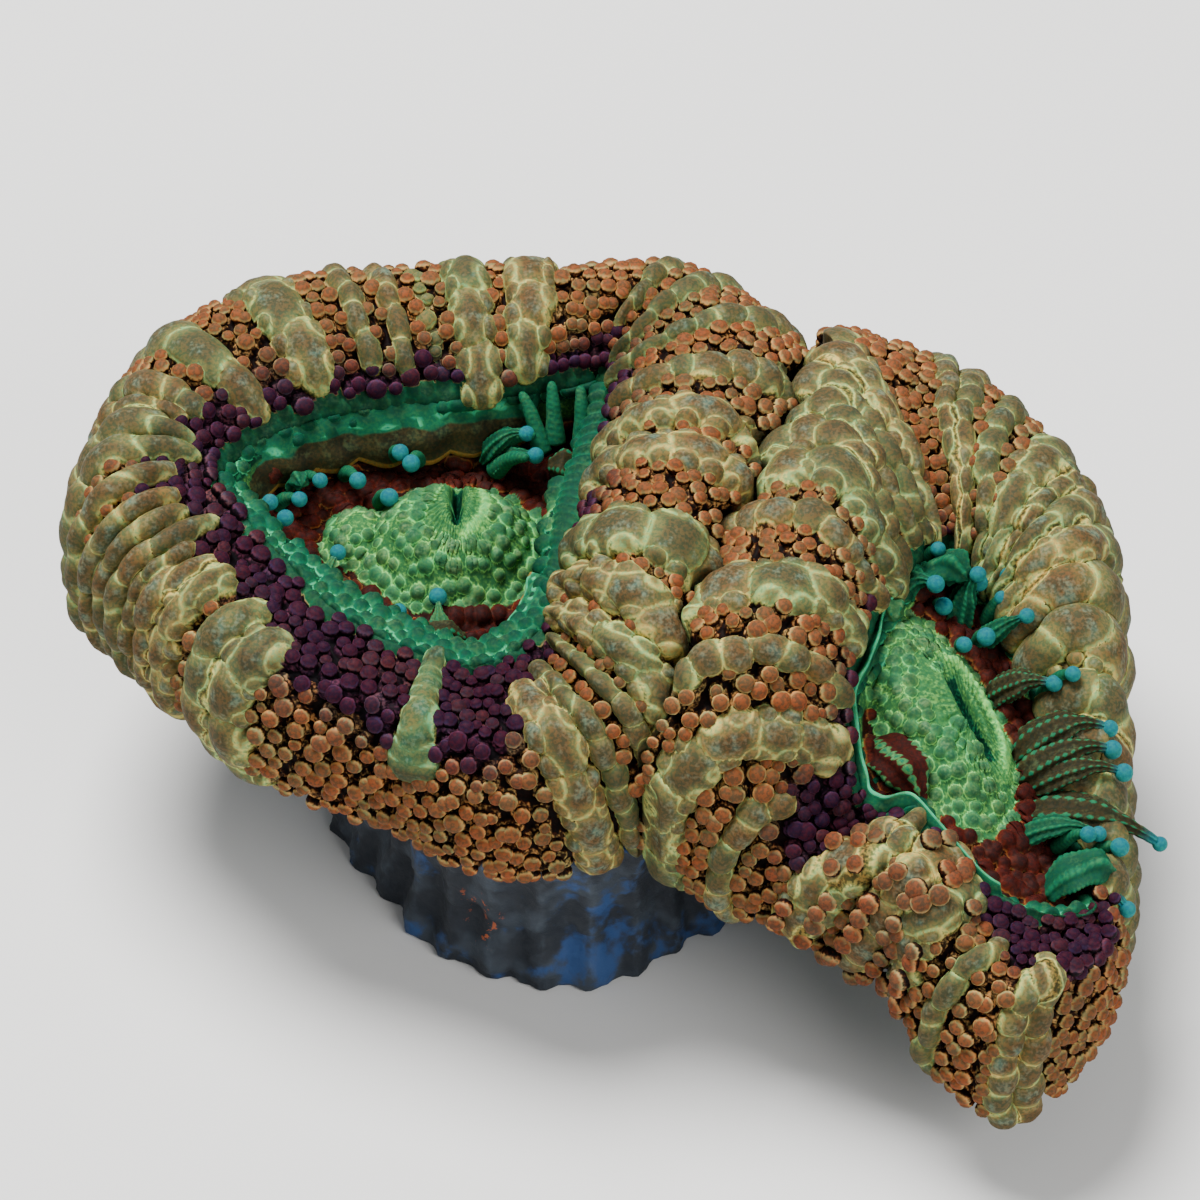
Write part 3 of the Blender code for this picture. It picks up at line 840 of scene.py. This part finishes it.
LEFT_DISC = Disc(
    ring=LEFT_RING,
    mouth=(-5.4, 2.9, 17.5),
    dome=(-5.6, 1.9),
    dome_size=(4.5, 3.7),
    dome_turn=0.0,
    depth=2.8,
    slit=(0.22, 1.3),
    slit_turn=0.0,
    fold=0.25,
    shelves=(1.6, 1.7, 1.6, 1.2, 0.6, 0.3, 0.3, 0.3, 0.3, 0.4, 0.8, 1.2, 1.3, 1.6, 2.0, 2.3, 2.3, 2.0, 1.7),
    zones=dome_moat_and_shelf(0.30, 1.05),
    mounds=((-9.7, 2.7, 1.9, 1.5),),
    ropes=((0.0, 4.0), (18.3, 19.0)),
)
RIGHT_DISC = Disc(
    ring=RIGHT_RING,
    mouth=(17.2, -8.0, 15.2),
    dome=(15.8, -7.4),
    dome_size=(3.0, 6.2),
    dome_turn=22.0,
    depth=2.2,
    slit=(0.24, 2.0),
    slit_turn=26.0,
    fold=0.8,
    shelves=(0.3, 0.5, 0.9, 1.0, 0.9, 0.8, 0.7, 0.7, 0.7, 0.7, 0.7, 0.8, 0.9, 0.9, 0.8, 0.6, 0.4),
    zones=dome_moat_and_shelf(0.28, 1.02),
)


# -------------------- tentacles, flaps and curtains


def bezier(curve, f):
    """Points on the curve that leaves its first point towards its second and ends at its third."""
    root, bend, tip = np.array(curve, float)
    f = f[:, None]
    return root * (1 - f) ** 2 + bend * 2 * f * (1 - f) + tip * f**2


def finger(body, curve, radius, profile, flat=1.0, ribs=0, kind=2.0, around=14, along=40, end_ball=True):
    """A finger of flesh from root to tip, with a ball at its tip: profile gives its girth in shares."""

    def shaper(u, w):
        run = unit(bezier(curve, np.minimum(w + 0.01, 1.0)) - bezier(curve, np.maximum(w - 0.01, 0.0)))
        side = unit(np.cross(run, LEVEL))
        lift = np.cross(side, run)
        girth = radius * eased(w, profile)
        turn = u * math.tau
        crest = 1 + 0.14 * np.cos(ribs * turn) * (1 + 0.3 * np.sin(w * 90)) if ribs else np.ones(len(u))
        squash = 1 - (1 - flat) * clamp((0.75 - w) / 0.2)
        sideways = side * (np.cos(turn) * girth * crest)[:, None]
        upwards = lift * (np.sin(turn) * girth * crest * squash)[:, None]
        ridge = clamp((crest - 0.86) / 0.28)
        bright = 0.85 - 0.45 * ridge**6 if ribs else 0.65 + 0.2 * np.cos(w * 75) * np.cos(3 * turn)
        shade = kind + (2 - kind) * ridge**9 * (ribs > 0)
        cyan = clamp((w - 0.8) / 0.2) * end_ball
        return bezier(curve, w) + (sideways + upwards), painted(shade, bright, 0.5, cyan)

    ball(body, around, along, shaper)
    if end_ball:
        tip_ball(body, curve[2], chance.uniform(*BALL_RADIUS))


def tip_ball(body, centre, radius):
    """The bright ball at a tentacle's tip."""
    layer = body.verts.layers.float_color["paint"]
    for vert in bmesh.ops.create_icosphere(body, subdivisions=3, radius=radius * MM)["verts"]:
        vert[layer] = (2.0, 0.35 + 0.65 * abs(vert.co.z) / (radius * MM), 0.5, 1.0)
        vert.co += Vector(centre) * MM


def ribbon(body, ring, start, end, top, drop, thick, kinds, turning, scallops):
    """A fold of flesh that runs along the lip. Its top and drop are its edges, inward and up from the
    lip, and turning is where its first kind gives way to its second."""

    def shaper(u, w):
        lip = lip_line(ring, start + (end - start) * w)
        inward = unit((np.mean(column(ring, 0), axis=0) - lip) * PLAN)
        ends = np.sin(clamp(w) * math.pi) ** 0.35
        wave = np.abs(np.sin(w * math.pi * scallops)) if scallops else np.ones(len(w))
        low = 0.5 - 0.5 * np.cos(u * math.tau)
        reach, fall = drop[0] - top[0], drop[1] - top[1]
        span = low * (0.88 + 0.12 * wave * ends)
        points = lip + inward * top[0] + LEVEL * top[1] + inward * (reach * span)[:, None]
        points[:, 2] += fall * span
        across = unit(np.cross(inward * reach + LEVEL * fall, np.cross(inward, LEVEL)))
        run = w * (end - start)
        lines = 1.5 * np.sin(run * 1.6)
        wrinkle = 1 + 0.25 * np.sin(low * 12 + lines) + 0.06 * np.sin(run * 17 + low * 5)
        points += across * (thick * np.sin(u * math.tau) * ends * wrinkle)[:, None]
        points += inward * (0.10 * np.sin(run * 3.7) + 0.04 * np.sin(run * 8 + 1))[:, None]
        change = turning + 0.04 * np.sin(run * 5.3) + 0.02 * np.sin(run * 12)
        kind = kinds[0] + (kinds[1] - kinds[0]) * clamp((low - change) / 0.10)
        bright = 0.52 + 0.26 * np.sin(low * 14 + lines) + 0.12 * np.sin(run * 15 + low * 4)
        bright = np.where(low > change, 0.75 + 0.15 * np.sin(run * 9), bright)
        # The drop edge takes the palette's painted bright rim light.
        return points, painted(kind, clamp(np.where(low > 0.92, 0.26, bright)), 0.5, 0.0)

    ball(body, FOLD_AROUND, FOLD_ALONG, shaper)


# Girths along a ball's stalk, a leaf-like tentacle, a finger and a flap.
STALK = ((0.0, 0.0), (0.03, 1.1), (0.3, 1.0), (0.6, 0.75), (0.85, 0.55), (0.97, 0.5), (1.0, 0.0))
LEAF = ((0, 0), (0.05, 0.6), (0.25, 1.1), (0.5, 0.95), (0.72, 0.40), (0.84, 0.26), (0.97, 0.22), (1, 0))
FINGER = ((0.0, 0.0), (0.05, 1.2), (0.5, 0.85), (0.85, 0.62), (0.96, 0.42), (1.0, 0.0))
FLAP = ((0.0, 0.0), (0.1, 0.7), (0.4, 1.1), (0.75, 0.9), (0.93, 0.45), (1.0, 0.0))
BALL_RADIUS = (0.34, 0.44)
STALK_RADIUS = 0.34
FINGER_RADIUS = 0.40
FOLD_AROUND = 24
FOLD_ALONG = 160

# Root and tip of the ball tips, and root, bend and tip of the rest, with the radius and the kind of the
# leaves and flaps.
LEFT_TIPS = [
    ((-13.6, 4.6, 15.4), (-12.5, 3.8, 16.6)),
    ((-12.6, 6.0, 15.6), (-11.6, 4.8, 16.8)),
    ((-10.6, 6.4, 15.6), (-9.9, 4.8, 16.8)),
    ((-8.4, 7.0, 16.0), (-8.0, 6.0, 17.4)),
    ((-7.2, 6.9, 16.0), (-7.5, 5.5, 17.2)),
    ((-9.0, 4.6, 15.4), (-8.45, 3.4, 17.1)),
    ((-14.6, 3.6, 15.6), (-13.8, 3.4, 16.8)),
    ((-13.9, 2.0, 15.2), (-13.1, 2.7, 16.5)),
    ((-12.4, -0.4, 14.8), (-11.8, -0.1, 16.0)),
    ((-8.4, -4.6, 14.6), (-7.9, -2.9, 16.2)),
]
LEFT_FINGERS = [
    ((-1.6, 6.6, 16.6), (-2.0, 7.6, 18.4), (-2.6, 8.3, 19.0)),
    ((-1.0, 7.0, 16.8), (-1.1, 7.9, 18.6), (-1.2, 8.7, 19.3)),
    ((0.2, 6.8, 16.8), (0.2, 7.8, 18.6), (0.1, 8.5, 19.2)),
    ((-3.8, 6.6, 15.6), (-3.0, 6.0, 17.4), (-2.2, 5.4, 17.6)),
    ((-3.4, 7.4, 16.4), (-2.8, 7.0, 17.9), (-1.9, 6.4, 18.0)),
]
LEFT_LEAVES = [
    ((-3.8, 6.8, 15.2), (-3.2, 6.6, 17.2), (-1.9, 5.8, 17.4), 0.62, 2.0),
    ((-4.4, 7.2, 15.6), (-3.4, 7.2, 17.8), (-2.3, 6.6, 18.0), 0.60, 2.0),
    ((-11.6, -1.2, 14.8), (-11.4, -0.4, 15.9), (-10.7, 0.9, 16.1), 0.55, 1.0),
    ((-6.1, -3.9, 14.8), (-6.1, -3.2, 16.0), (-6.2, -1.7, 15.9), 0.42, 1.0),
]
LEFT_FLAPS = [
    ((1.0, 4.6, 15.6), (0.2, 5.2, 17.6), (-1.4, 5.4, 17.0), 0.95, 3.0),
    ((-8.6, -4.2, 15.0), (-6.8, -3.9, 16.4), (-4.8, -4.1, 15.4), 0.75, 3.0),
    ((-12.0, -1.8, 15.0), (-11.2, -1.4, 16.4), (-9.7, -1.4, 15.8), 0.60, 3.0),
    ((-13.2, 4.9, 15.6), (-12.6, 5.2, 17.2), (-12.4, 4.0, 17.2), 0.50, 2.0),
]
RIGHT_TIPS = [
    ((15.4, 1.4, 14.6), (16.1, 1.0, 16.2)),
    ((17.2, 0.6, 14.0), (17.9, -0.4, 15.5)),
    ((18.6, 0.2, 13.8), (19.1, 0.1, 15.6)),
    ((18.2, -1.2, 13.6), (18.9, -1.1, 15.2)),
    ((19.2, -2.4, 13.2), (19.9, -2.3, 15.0)),
    ((16.0, -0.4, 13.6), (16.3, -1.5, 15.1)),
    ((17.8, -2.4, 13.4), (18.1, -3.5, 15.2)),
    ((17.0, -3.0, 13.6), (17.1, -4.1, 15.3)),
    ((13.4, -3.0, 14.2), (13.7, -4.0, 15.6)),
    ((20.4, -5.4, 12.8), (21.8, -6.1, 15.5)),
    ((12.9, -11.4, 13.2), (13.1, -10.3, 14.4)),
    ((20.9, -13.0, 11.6), (22.2, -13.6, 13.2)),
    ((22.4, -13.2, 11.4), (23.6, -13.8, 12.6)),
]
RIGHT_LEAVES = [
    ((19.0, -11.0, 11.4), (22.6, -12.0, 13.9), (25.5, -12.4, 11.3), 0.95, 3.0),
    ((19.4, -10.0, 11.8), (22.0, -9.8, 14.4), (23.95, -10.0, 13.3), 0.70, 3.0),
    ((18.8, -8.6, 12.0), (21.4, -7.6, 15.0), (23.4, -7.9, 13.9), 0.85, 3.0),
    ((18.8, -9.6, 11.8), (21.6, -8.9, 14.6), (23.5, -8.8, 13.5), 0.85, 3.0),
    ((18.0, -5.2, 12.6), (19.4, -5.4, 14.9), (21.0, -6.1, 14.9), 0.80, 3.0),
    ((18.8, -12.4, 11.0), (20.8, -12.9, 14.0), (22.7, -13.2, 12.8), 0.60, 2.0),
    ((20.4, -13.4, 10.4), (22.2, -14.6, 13.0), (23.9, -15.9, 10.9), 0.85, 3.0),
    ((16.6, -1.6, 12.8), (17.3, -0.6, 15.4), (17.8, -0.8, 16.4), 0.70, 2.0),
    ((17.6, -1.8, 12.6), (18.8, -2.4, 14.8), (19.9, -2.9, 15.9), 0.70, 2.0),
    ((14.4, -0.6, 14.0), (14.8, -0.4, 16.4), (15.9, -1.4, 16.4), 0.80, 2.0),
]
RIGHT_FLAPS = [
    ((12.7, -8.6, 13.6), (13.7, -9.8, 15.6), (15.0, -12.2, 13.8), 1.15, 0.0),
    ((15.6, 0.8, 14.2), (16.0, 0.6, 16.8), (17.4, -0.8, 16.0), 0.95, 2.0),
    ((13.6, -1.4, 15.0), (13.6, -2.2, 16.6), (14.0, -3.6, 16.2), 0.75, 1.0),
    ((20.2, -15.4, 11.0), (21.6, -14.8, 13.4), (23.4, -14.8, 11.8), 0.90, 2.0),
]

# Folds: from and to which station, upper and lower edge, thickness, kinds, where they change, scallops.
LEFT_FOLDS = [
    (5.2, 10.8, (-0.1, 0.1), (1.5, -2.6), 0.40, (2.0, 3.0), 0.40, 8),
    (16.6, 18.7, (0.2, 0.2), (2.3, -0.5), 0.22, (2.0, 3.0), 0.93, 0),
]
RIGHT_FOLDS = [
    (14.2, 21.2, (0.0, -0.4), (0.45, 0.9), 0.20, (2.0, 2.0), 0.5, 0),
    (10.4, 13.8, (0.2, -0.4), (1.8, -1.4), 0.30, (2.0, 2.0), 0.5, 5),
]


def fringe(name, ring, tips, fingers, leaves, flaps, folds):
    """All that stands up round a disc: ball tips on short stalks, fingers, leaves, flaps and folds."""
    body = painted_body()
    for root, tip in tips:
        bend = ((root[0] + tip[0]) / 2, (root[1] + tip[1]) / 2, max(root[2], tip[2]))
        finger(body, (root, bend, tip), STALK_RADIUS, STALK)
    for curve in fingers:
        finger(body, curve, FINGER_RADIUS, FINGER, end_ball=False)
    for *curve, radius, kind in leaves:
        finger(body, curve, radius, LEAF, flat=0.6, ribs=7, kind=kind, around=56, along=60)
    for *curve, radius, kind in flaps:
        finger(body, curve, radius, FLAP, flat=0.35, ribs=5, kind=kind, around=40, end_ball=False)
    for fold in folds:
        ribbon(body, ring, *fold)
    return finished(name, body, DISC_FLESH)


# -------------------- the stony foot

FOOT_CENTRE = (0.6, 0.2)
FOOT_HEIGHT = 8.7
FOOT_RADII = (11.4, 11.6, 12.0, 12.2, 12.0, 12.2, 12.2, 10.9, 11.4, 11.0, 9.4, 10.4)
FOOT_FLARE = ((0.0, 1.0), (0.9, 0.99), (2.8, 0.93), (6.0, 0.95), (8.7, 1.03))
FLAT_SHARE = 0.12  # of the way from pole to pole, which each flat end takes
COSTAE = 30
COSTA_HEIGHT = 0.224
CRUST_HEIGHT = 0.30
PIT_DEPTH = 0.06
SPECK_CENTRE = (-5.2, -10.4, 3.4)
SPECK_REACH = 2.2


def foot(name, material):
    """The stump: upright ribs, crusts and pits, cut flat below."""

    def shaper(u, w):
        height = FOOT_HEIGHT * (1 - clamp((w - FLAT_SHARE) / (1 - 2 * FLAT_SHARE)))
        inward = clamp(np.minimum(w, 1 - w) / FLAT_SHARE)
        radius = closed_curve(FOOT_RADII, u * len(FOOT_RADII))[:, 0]
        radius = radius * np.interp(height, *zip(*FOOT_FLARE))
        turn = u * math.tau
        rib = -np.cos(turn * COSTAE)
        out = np.column_stack((np.cos(turn), np.sin(turn), turn * 0))
        wall = out * radius[:, None]
        wall[:, 2] = height
        crust = np.array([noise.fractal(Vector(point) / 1.8, 1.0, 2.0, 4) for point in wall])
        pits = np.array([noise.cell(Vector(point) / 0.5) for point in wall])
        reach = (radius + rib * COSTA_HEIGHT + crust * CRUST_HEIGHT + pits * PIT_DEPTH) * inward
        points = out * reach[:, None] + (*FOOT_CENTRE, 0.0)
        points[:, 2] = height
        specks = clamp(1 - np.linalg.norm(points - SPECK_CENTRE, axis=1) / SPECK_REACH)
        return points, painted(0.5 + 0.5 * rib, 0.5 + 0.5 * crust, specks, 0.0)

    body = painted_body()
    ball(body, 280, 68, shaper)
    return finished(name, body, material)


# -------------------- finishes


class Value:
    """A shader number that can be written in sums."""

    def __init__(self, tree, socket):
        self.tree = tree
        self.socket = socket

    def made(self, operation, other, swapped=False):
        """A Math node on this number and another one."""
        step = self.tree.nodes.new("ShaderNodeMath")
        step.operation = operation
        mine, theirs = reversed(step.inputs[:2]) if swapped else step.inputs[:2]
        self.tree.links.new(self.socket, mine)
        if isinstance(other, Value):
            self.tree.links.new(other.socket, theirs)
        else:
            theirs.default_value = other
        return Value(self.tree, step.outputs[0])

    def __add__(self, other):
        return self.made("ADD", other)

    def __sub__(self, other):
        return self.made("SUBTRACT", other)

    def __rsub__(self, other):
        return self.made("SUBTRACT", other, swapped=True)

    def __mul__(self, other):
        return self.made("MULTIPLY", other)

    __radd__ = __add__
    __rmul__ = __mul__


class Finish:
    """A material under construction, with one way to add a node."""

    def __init__(self, name):
        self.material = bpy.data.materials.new(name)
        self.material.use_nodes = True
        self.tree = self.material.node_tree
        self.shader = self.tree.nodes["Principled BSDF"]

    def node(self, kind, settings=None, **sockets):
        """A node of a type: its settings first, then its sockets' values or links."""
        made = self.tree.nodes.new(kind)
        for key, value in (settings or {}).items():
            if key == "stops":
                self.set_stops(made.color_ramp, value)
            else:
                setattr(made, key, value)
        self.feed(made, **sockets)
        return made

    def set_stops(self, ramp, stops):
        """Give a ramp its (position, colour) stops, eased between them."""
        ramp.interpolation = "EASE"
        while len(ramp.elements) < len(stops):
            ramp.elements.new(0.5)
        for stop, (position, colour) in zip(ramp.elements, stops):
            stop.position = position
            stop.color = (*colour, 1.0)

    def feed(self, node, **sockets):
        """Link or set a node's sockets. A colour may leave out its alpha."""
        for key, value in sockets.items():
            socket = node.inputs[key.replace("_", " ")]
            if isinstance(value, Value):
                value = value.socket
            if isinstance(value, bpy.types.NodeSocket):
                self.tree.links.new(value, socket)
            else:
                socket.default_value = (*value, 1.0) if isinstance(value, tuple) else value

    def ramp(self, factor, stops):
        """A colour picked from the stops by a number."""
        return self.node("ShaderNodeValToRGB", {"stops": stops}, Fac=factor).outputs["Color"]

    def mix(self, factor, first, second, blend="MIX"):
        """Two colours mixed, or blended in another way."""
        settings = {"data_type": "RGBA", "blend_type": blend}
        return self.node("ShaderNodeMix", settings, Factor=factor, A=first, B=second).outputs["Result"]

    def grain(self, scale, detail=2.0, rough=0.5):
        """Noise on the object's own coordinates."""
        spot = self.node("ShaderNodeTexCoord").outputs["Object"]
        sizes = {"Scale": scale, "Detail": detail, "Roughness": rough}
        made = self.node("ShaderNodeTexNoise", None, Vector=spot, **sizes)
        return Value(self.tree, made.outputs["Fac"])

    def paint(self):
        """The painted channels: kind, rise, tone and violet."""
        read = self.node("ShaderNodeAttribute", {"attribute_name": "paint"})
        split = self.node("ShaderNodeSeparateColor", None, Color=read.outputs["Color"])
        channels = (*split.outputs[:3], read.outputs["Alpha"])
        return [Value(self.tree, channel) for channel in channels]

    def between(self, value, low, high):
        """0 below low, 1 above high, eased between."""
        settings = {"interpolation_type": "SMOOTHSTEP"}
        made = self.node("ShaderNodeMapRange", settings, Value=value, From_Min=low, From_Max=high)
        return Value(self.tree, made.outputs["Result"])

    def surface(self, colour, roughness, height, strength, distance):
        """Feed the shader its colour, its roughness and a bump, and hand the material over."""
        bump = self.node("ShaderNodeBump", None, Height=height, Strength=strength, Distance=distance)
        self.feed(self.shader, Base_Color=colour, Roughness=roughness, Normal=bump.outputs["Normal"])
        return self.material


# Colours at the crease and beside it, painted shade; at the bright rim, a painted rim light; inside it and
# at the crown; and their places.
PALETTE_PLACES = (0.0, 0.07, 0.20, 0.40, 1.0)
BEAD = (
    (0.005, 0.0015, 0.001), (0.034, 0.010, 0.003),
    (0.43, 0.27, 0.095), (0.155, 0.062, 0.024), (0.074, 0.024, 0.011),
)
LOBE = (
    (0.070, 0.052, 0.014), (0.18, 0.155, 0.042),
    (0.40, 0.42, 0.135), (0.134, 0.120, 0.042), (0.078, 0.056, 0.024),
)
LIP = (
    (0.003, 0.030, 0.012), (0.008, 0.10, 0.042),
    (0.065, 0.46, 0.21), (0.012, 0.12, 0.050), (0.005, 0.046, 0.022),
)
VIOLET = (
    (0.002, 0.001, 0.002), (0.010, 0.002, 0.006),
    (0.062, 0.020, 0.050), (0.026, 0.005, 0.017), (0.015, 0.002, 0.007),
)
MAROON = (
    (0.022, 0.005, 0.003), (0.045, 0.010, 0.004),
    (0.20, 0.075, 0.020), (0.070, 0.013, 0.007), (0.028, 0.005, 0.004),
)
DOME = (
    (0.034, 0.140, 0.042), (0.075, 0.25, 0.065),
    (0.175, 0.52, 0.135), (0.052, 0.185, 0.060), (0.024, 0.088, 0.034),
)
TEAL = (
    (0.003, 0.038, 0.018), (0.008, 0.12, 0.052),
    (0.060, 0.46, 0.22), (0.011, 0.13, 0.058), (0.004, 0.046, 0.024),
)
BROWN = (
    (0.018, 0.014, 0.006), (0.035, 0.026, 0.009),
    (0.28, 0.15, 0.030), (0.038, 0.033, 0.011), (0.020, 0.017, 0.008),
)
CYAN = (
    (0.006, 0.12, 0.10), (0.010, 0.19, 0.16),
    (0.030, 0.36, 0.30), (0.014, 0.21, 0.20), (0.009, 0.13, 0.16),
)
# Painted sheen: highlight colours mixed into patches of the crowns.
MANTLE_SHEEN = (0.10, 0.25, 0.20)
DISC_SHEEN = (0.12, 0.32, 0.16)
COOL_GRAIN = (0.60, 0.78, 0.86)
WARM_GRAIN = (1.28, 1.08, 0.94)
GREEN_TINT = (0.82, 1.04, 1.10)
BROWN_TINT = (1.14, 0.90, 0.84)
SLATE = (0.006, 0.010, 0.017)
GREY_CRUST = (0.024, 0.034, 0.048)
BLUE_PATCH = (0.012, 0.055, 0.18)
PALE_RIB = (0.10, 0.13, 0.16)
ORANGE_SPECK = (0.42, 0.09, 0.02)


def palette(finish, height, colours):
    """Colours from the painted shade of the crease over the painted bright rim light to the crown."""
    return finish.ramp(height, tuple(zip(PALETTE_PLACES, colours)))


def flesh_finish(name, families, tip_family, sheen):
    """Granular flesh. The painted kind picks a family of colours, and a painted sheen, a highlight colour,
    tints patches of crowns.
    """
    finish = Finish(name)
    kind, crease, tone, extra = finish.paint()
    mottle = finish.grain(1300.0, 3.0, 0.6)
    stipple = finish.grain(6500.0, 1.0)
    # The crease channel picks each palette's colour: painted shade at the crease, a painted bright rim
    # light, then the crown.
    height = crease + (mottle - 0.5) * 0.25 + (stipple - 0.5) * 0.25
    body = palette(finish, height, families[0])
    for number, family in enumerate(families[1:]):
        change = finish.between(kind + (mottle - 0.5) * 0.25, number + 0.35, number + 0.65)
        body = finish.mix(change, body, palette(finish, height, family))
    # Painted sheen: a highlight colour in patches of the crowns, none on the first family and less from the
    # third on.
    patch = finish.between(mottle + (tone - 0.5) * 0.15 + (stipple - 0.5) * 0.3, 0.48, 0.80)
    patch = patch * finish.between(crease, 0.2, 0.6)
    patch = patch * (finish.between(kind, 0.4, 0.8) - finish.between(kind, 1.4, 1.8) * 0.75)
    body = finish.mix(patch * 0.55, body, sheen)
    body = finish.mix(finish.between(extra, 0.1, 0.9), body, palette(finish, height, tip_family))
    grains = finish.mix(finish.between(stipple, 0.36, 0.64), COOL_GRAIN, WARM_GRAIN)
    body = finish.mix(1.0, body, grains, "MULTIPLY")
    tint = finish.mix(finish.between(tone + (mottle - 0.5) * 0.8, 0.0, 1.0), GREEN_TINT, BROWN_TINT)
    body = finish.mix(1.0, body, tint, "MULTIPLY")
    finish.feed(finish.shader, Subsurface_Weight=0.10, Subsurface_Scale=0.0005, Specular_IOR_Level=0.07)
    return finish.surface(body, 0.68 + (mottle - 0.5) * 0.3, mottle * 0.6 + stipple * 0.4, 0.35, 0.00008)


def stone_finish():
    """Dark slate skeleton with blue patches and a patch of orange specks."""
    finish = Finish("stone")
    rib, crust, specks, _ = finish.paint()
    fine = finish.grain(1500.0, 4.0, 0.7)
    patch = finish.grain(330.0, 3.0, 0.6)
    body = finish.mix(finish.between(crust + (patch - 0.5) * 0.8, 0.35, 0.7), SLATE, GREY_CRUST)
    blue = finish.between(patch + (fine - 0.5) * 0.3, 0.52, 0.66)
    body = finish.mix(blue * 0.85, body, BLUE_PATCH)
    body = finish.mix(finish.between(rib + (fine - 0.5), 0.85, 1.3) * 0.3, body, PALE_RIB)
    orange = finish.between(fine + specks * 0.19, 0.62, 0.66) * finish.between(specks, 0.02, 0.3)
    body = finish.mix(orange, body, ORANGE_SPECK)
    return finish.surface(body, 0.75 + (fine - 0.5) * 0.3, fine + patch, 0.6, 0.00015)


MANTLE_FLESH = flesh_finish("mantle_flesh", (BEAD, LOBE, LIP), VIOLET, MANTLE_SHEEN)
DISC_FLESH = flesh_finish("disc_flesh", (MAROON, DOME, TEAL, BROWN), CYAN, DISC_SHEEN)

# -------------------- assembly

pieces = []
for name, ring, rows, side in (("left", LEFT_RING, LEFT_ROWS, -1), ("right", RIGHT_RING, RIGHT_ROWS, 1)):
    pieces += [(made, name) for made in mantle(name, ring, rows, side)]
for name, disc, around in (("left", LEFT_DISC, 480), ("right", RIGHT_DISC, 400)):
    pieces.append((disc.made(f"{name}_disc", around), name))
for name, *growth in (
    ("left", LEFT_RING, LEFT_TIPS, LEFT_FINGERS, LEFT_LEAVES, LEFT_FLAPS, LEFT_FOLDS),
    ("right", RIGHT_RING, RIGHT_TIPS, [], RIGHT_LEAVES, RIGHT_FLAPS, RIGHT_FOLDS),
):
    pieces.append((fringe(f"{name}_fringe", *growth), name))
for piece, name in pieces:
    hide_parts(f"{name}_polyp")
    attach(piece, "root")

stump = foot("coral_foot", stone_finish())
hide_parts("skeleton")
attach(stump, "root")

# -------------------- floor, light and camera

# Lengths and places in metres.
FLOOR_HALF = 2.0
FLOOR_COLOUR = (0.78, 0.77, 0.75)
SKY_COLOUR = (0.92, 0.96, 1.0)
SKY_STRENGTH = 0.38
LIT_POINT = Vector((0, 0, 0.012))
LIGHTS = (("key", (-0.10, 0.10, 0.40), 0.22, 4.2), ("fill", (0.25, -0.30, 0.25), 0.30, 1.4))
CAMERA_AIM = Vector((0.001, 0.001, 0.013))
CAMERA_RISE = math.radians(45.0)
CAMERA_DISTANCE = 0.30
FROM_THE_FRONT = Vector((0.0, -math.cos(CAMERA_RISE), math.sin(CAMERA_RISE)))


def floor():
    """A plain pale floor."""
    finish = Finish("pale_floor")
    finish.feed(finish.shader, Base_Color=FLOOR_COLOUR, Roughness=0.9)
    body = bmesh.new()
    bmesh.ops.create_grid(body, x_segments=1, y_segments=1, size=FLOOR_HALF)
    mesh = mesh_from("floor", body)
    mesh.materials.append(finish.material)
    linked("floor", mesh)


def soft_light():
    """A pale sky, a key light from behind and above, and a weaker one from the front right."""
    world = bpy.data.worlds.new("soft_sky")
    world.use_nodes = True
    sky = world.node_tree.nodes["Background"].inputs
    sky["Color"].default_value = (*SKY_COLOUR, 1.0)
    sky["Strength"].default_value = SKY_STRENGTH
    bpy.context.scene.world = world
    for name, spot, size, power in LIGHTS:
        light = bpy.data.lights.new(name, "AREA")
        light.shape = "DISK"
        light.size = size
        light.energy = power
        lamp = linked(name, light)
        lamp.location = spot
        lamp.rotation_euler = (LIT_POINT - Vector(spot)).to_track_quat("-Z", "Y").to_euler()


def camera():
    """Looks along +Y, down from the front."""
    eye = bpy.data.cameras.new("camera")
    eye.sensor_width = 36.0
    eye.lens = 200.0
    made = linked("camera", eye)
    made.location = CAMERA_AIM + FROM_THE_FRONT * CAMERA_DISTANCE
    made.rotation_euler = (math.pi / 2 - CAMERA_RISE, 0.0, 0.0)
    bpy.context.scene.camera = made


floor()
soft_light()
camera()
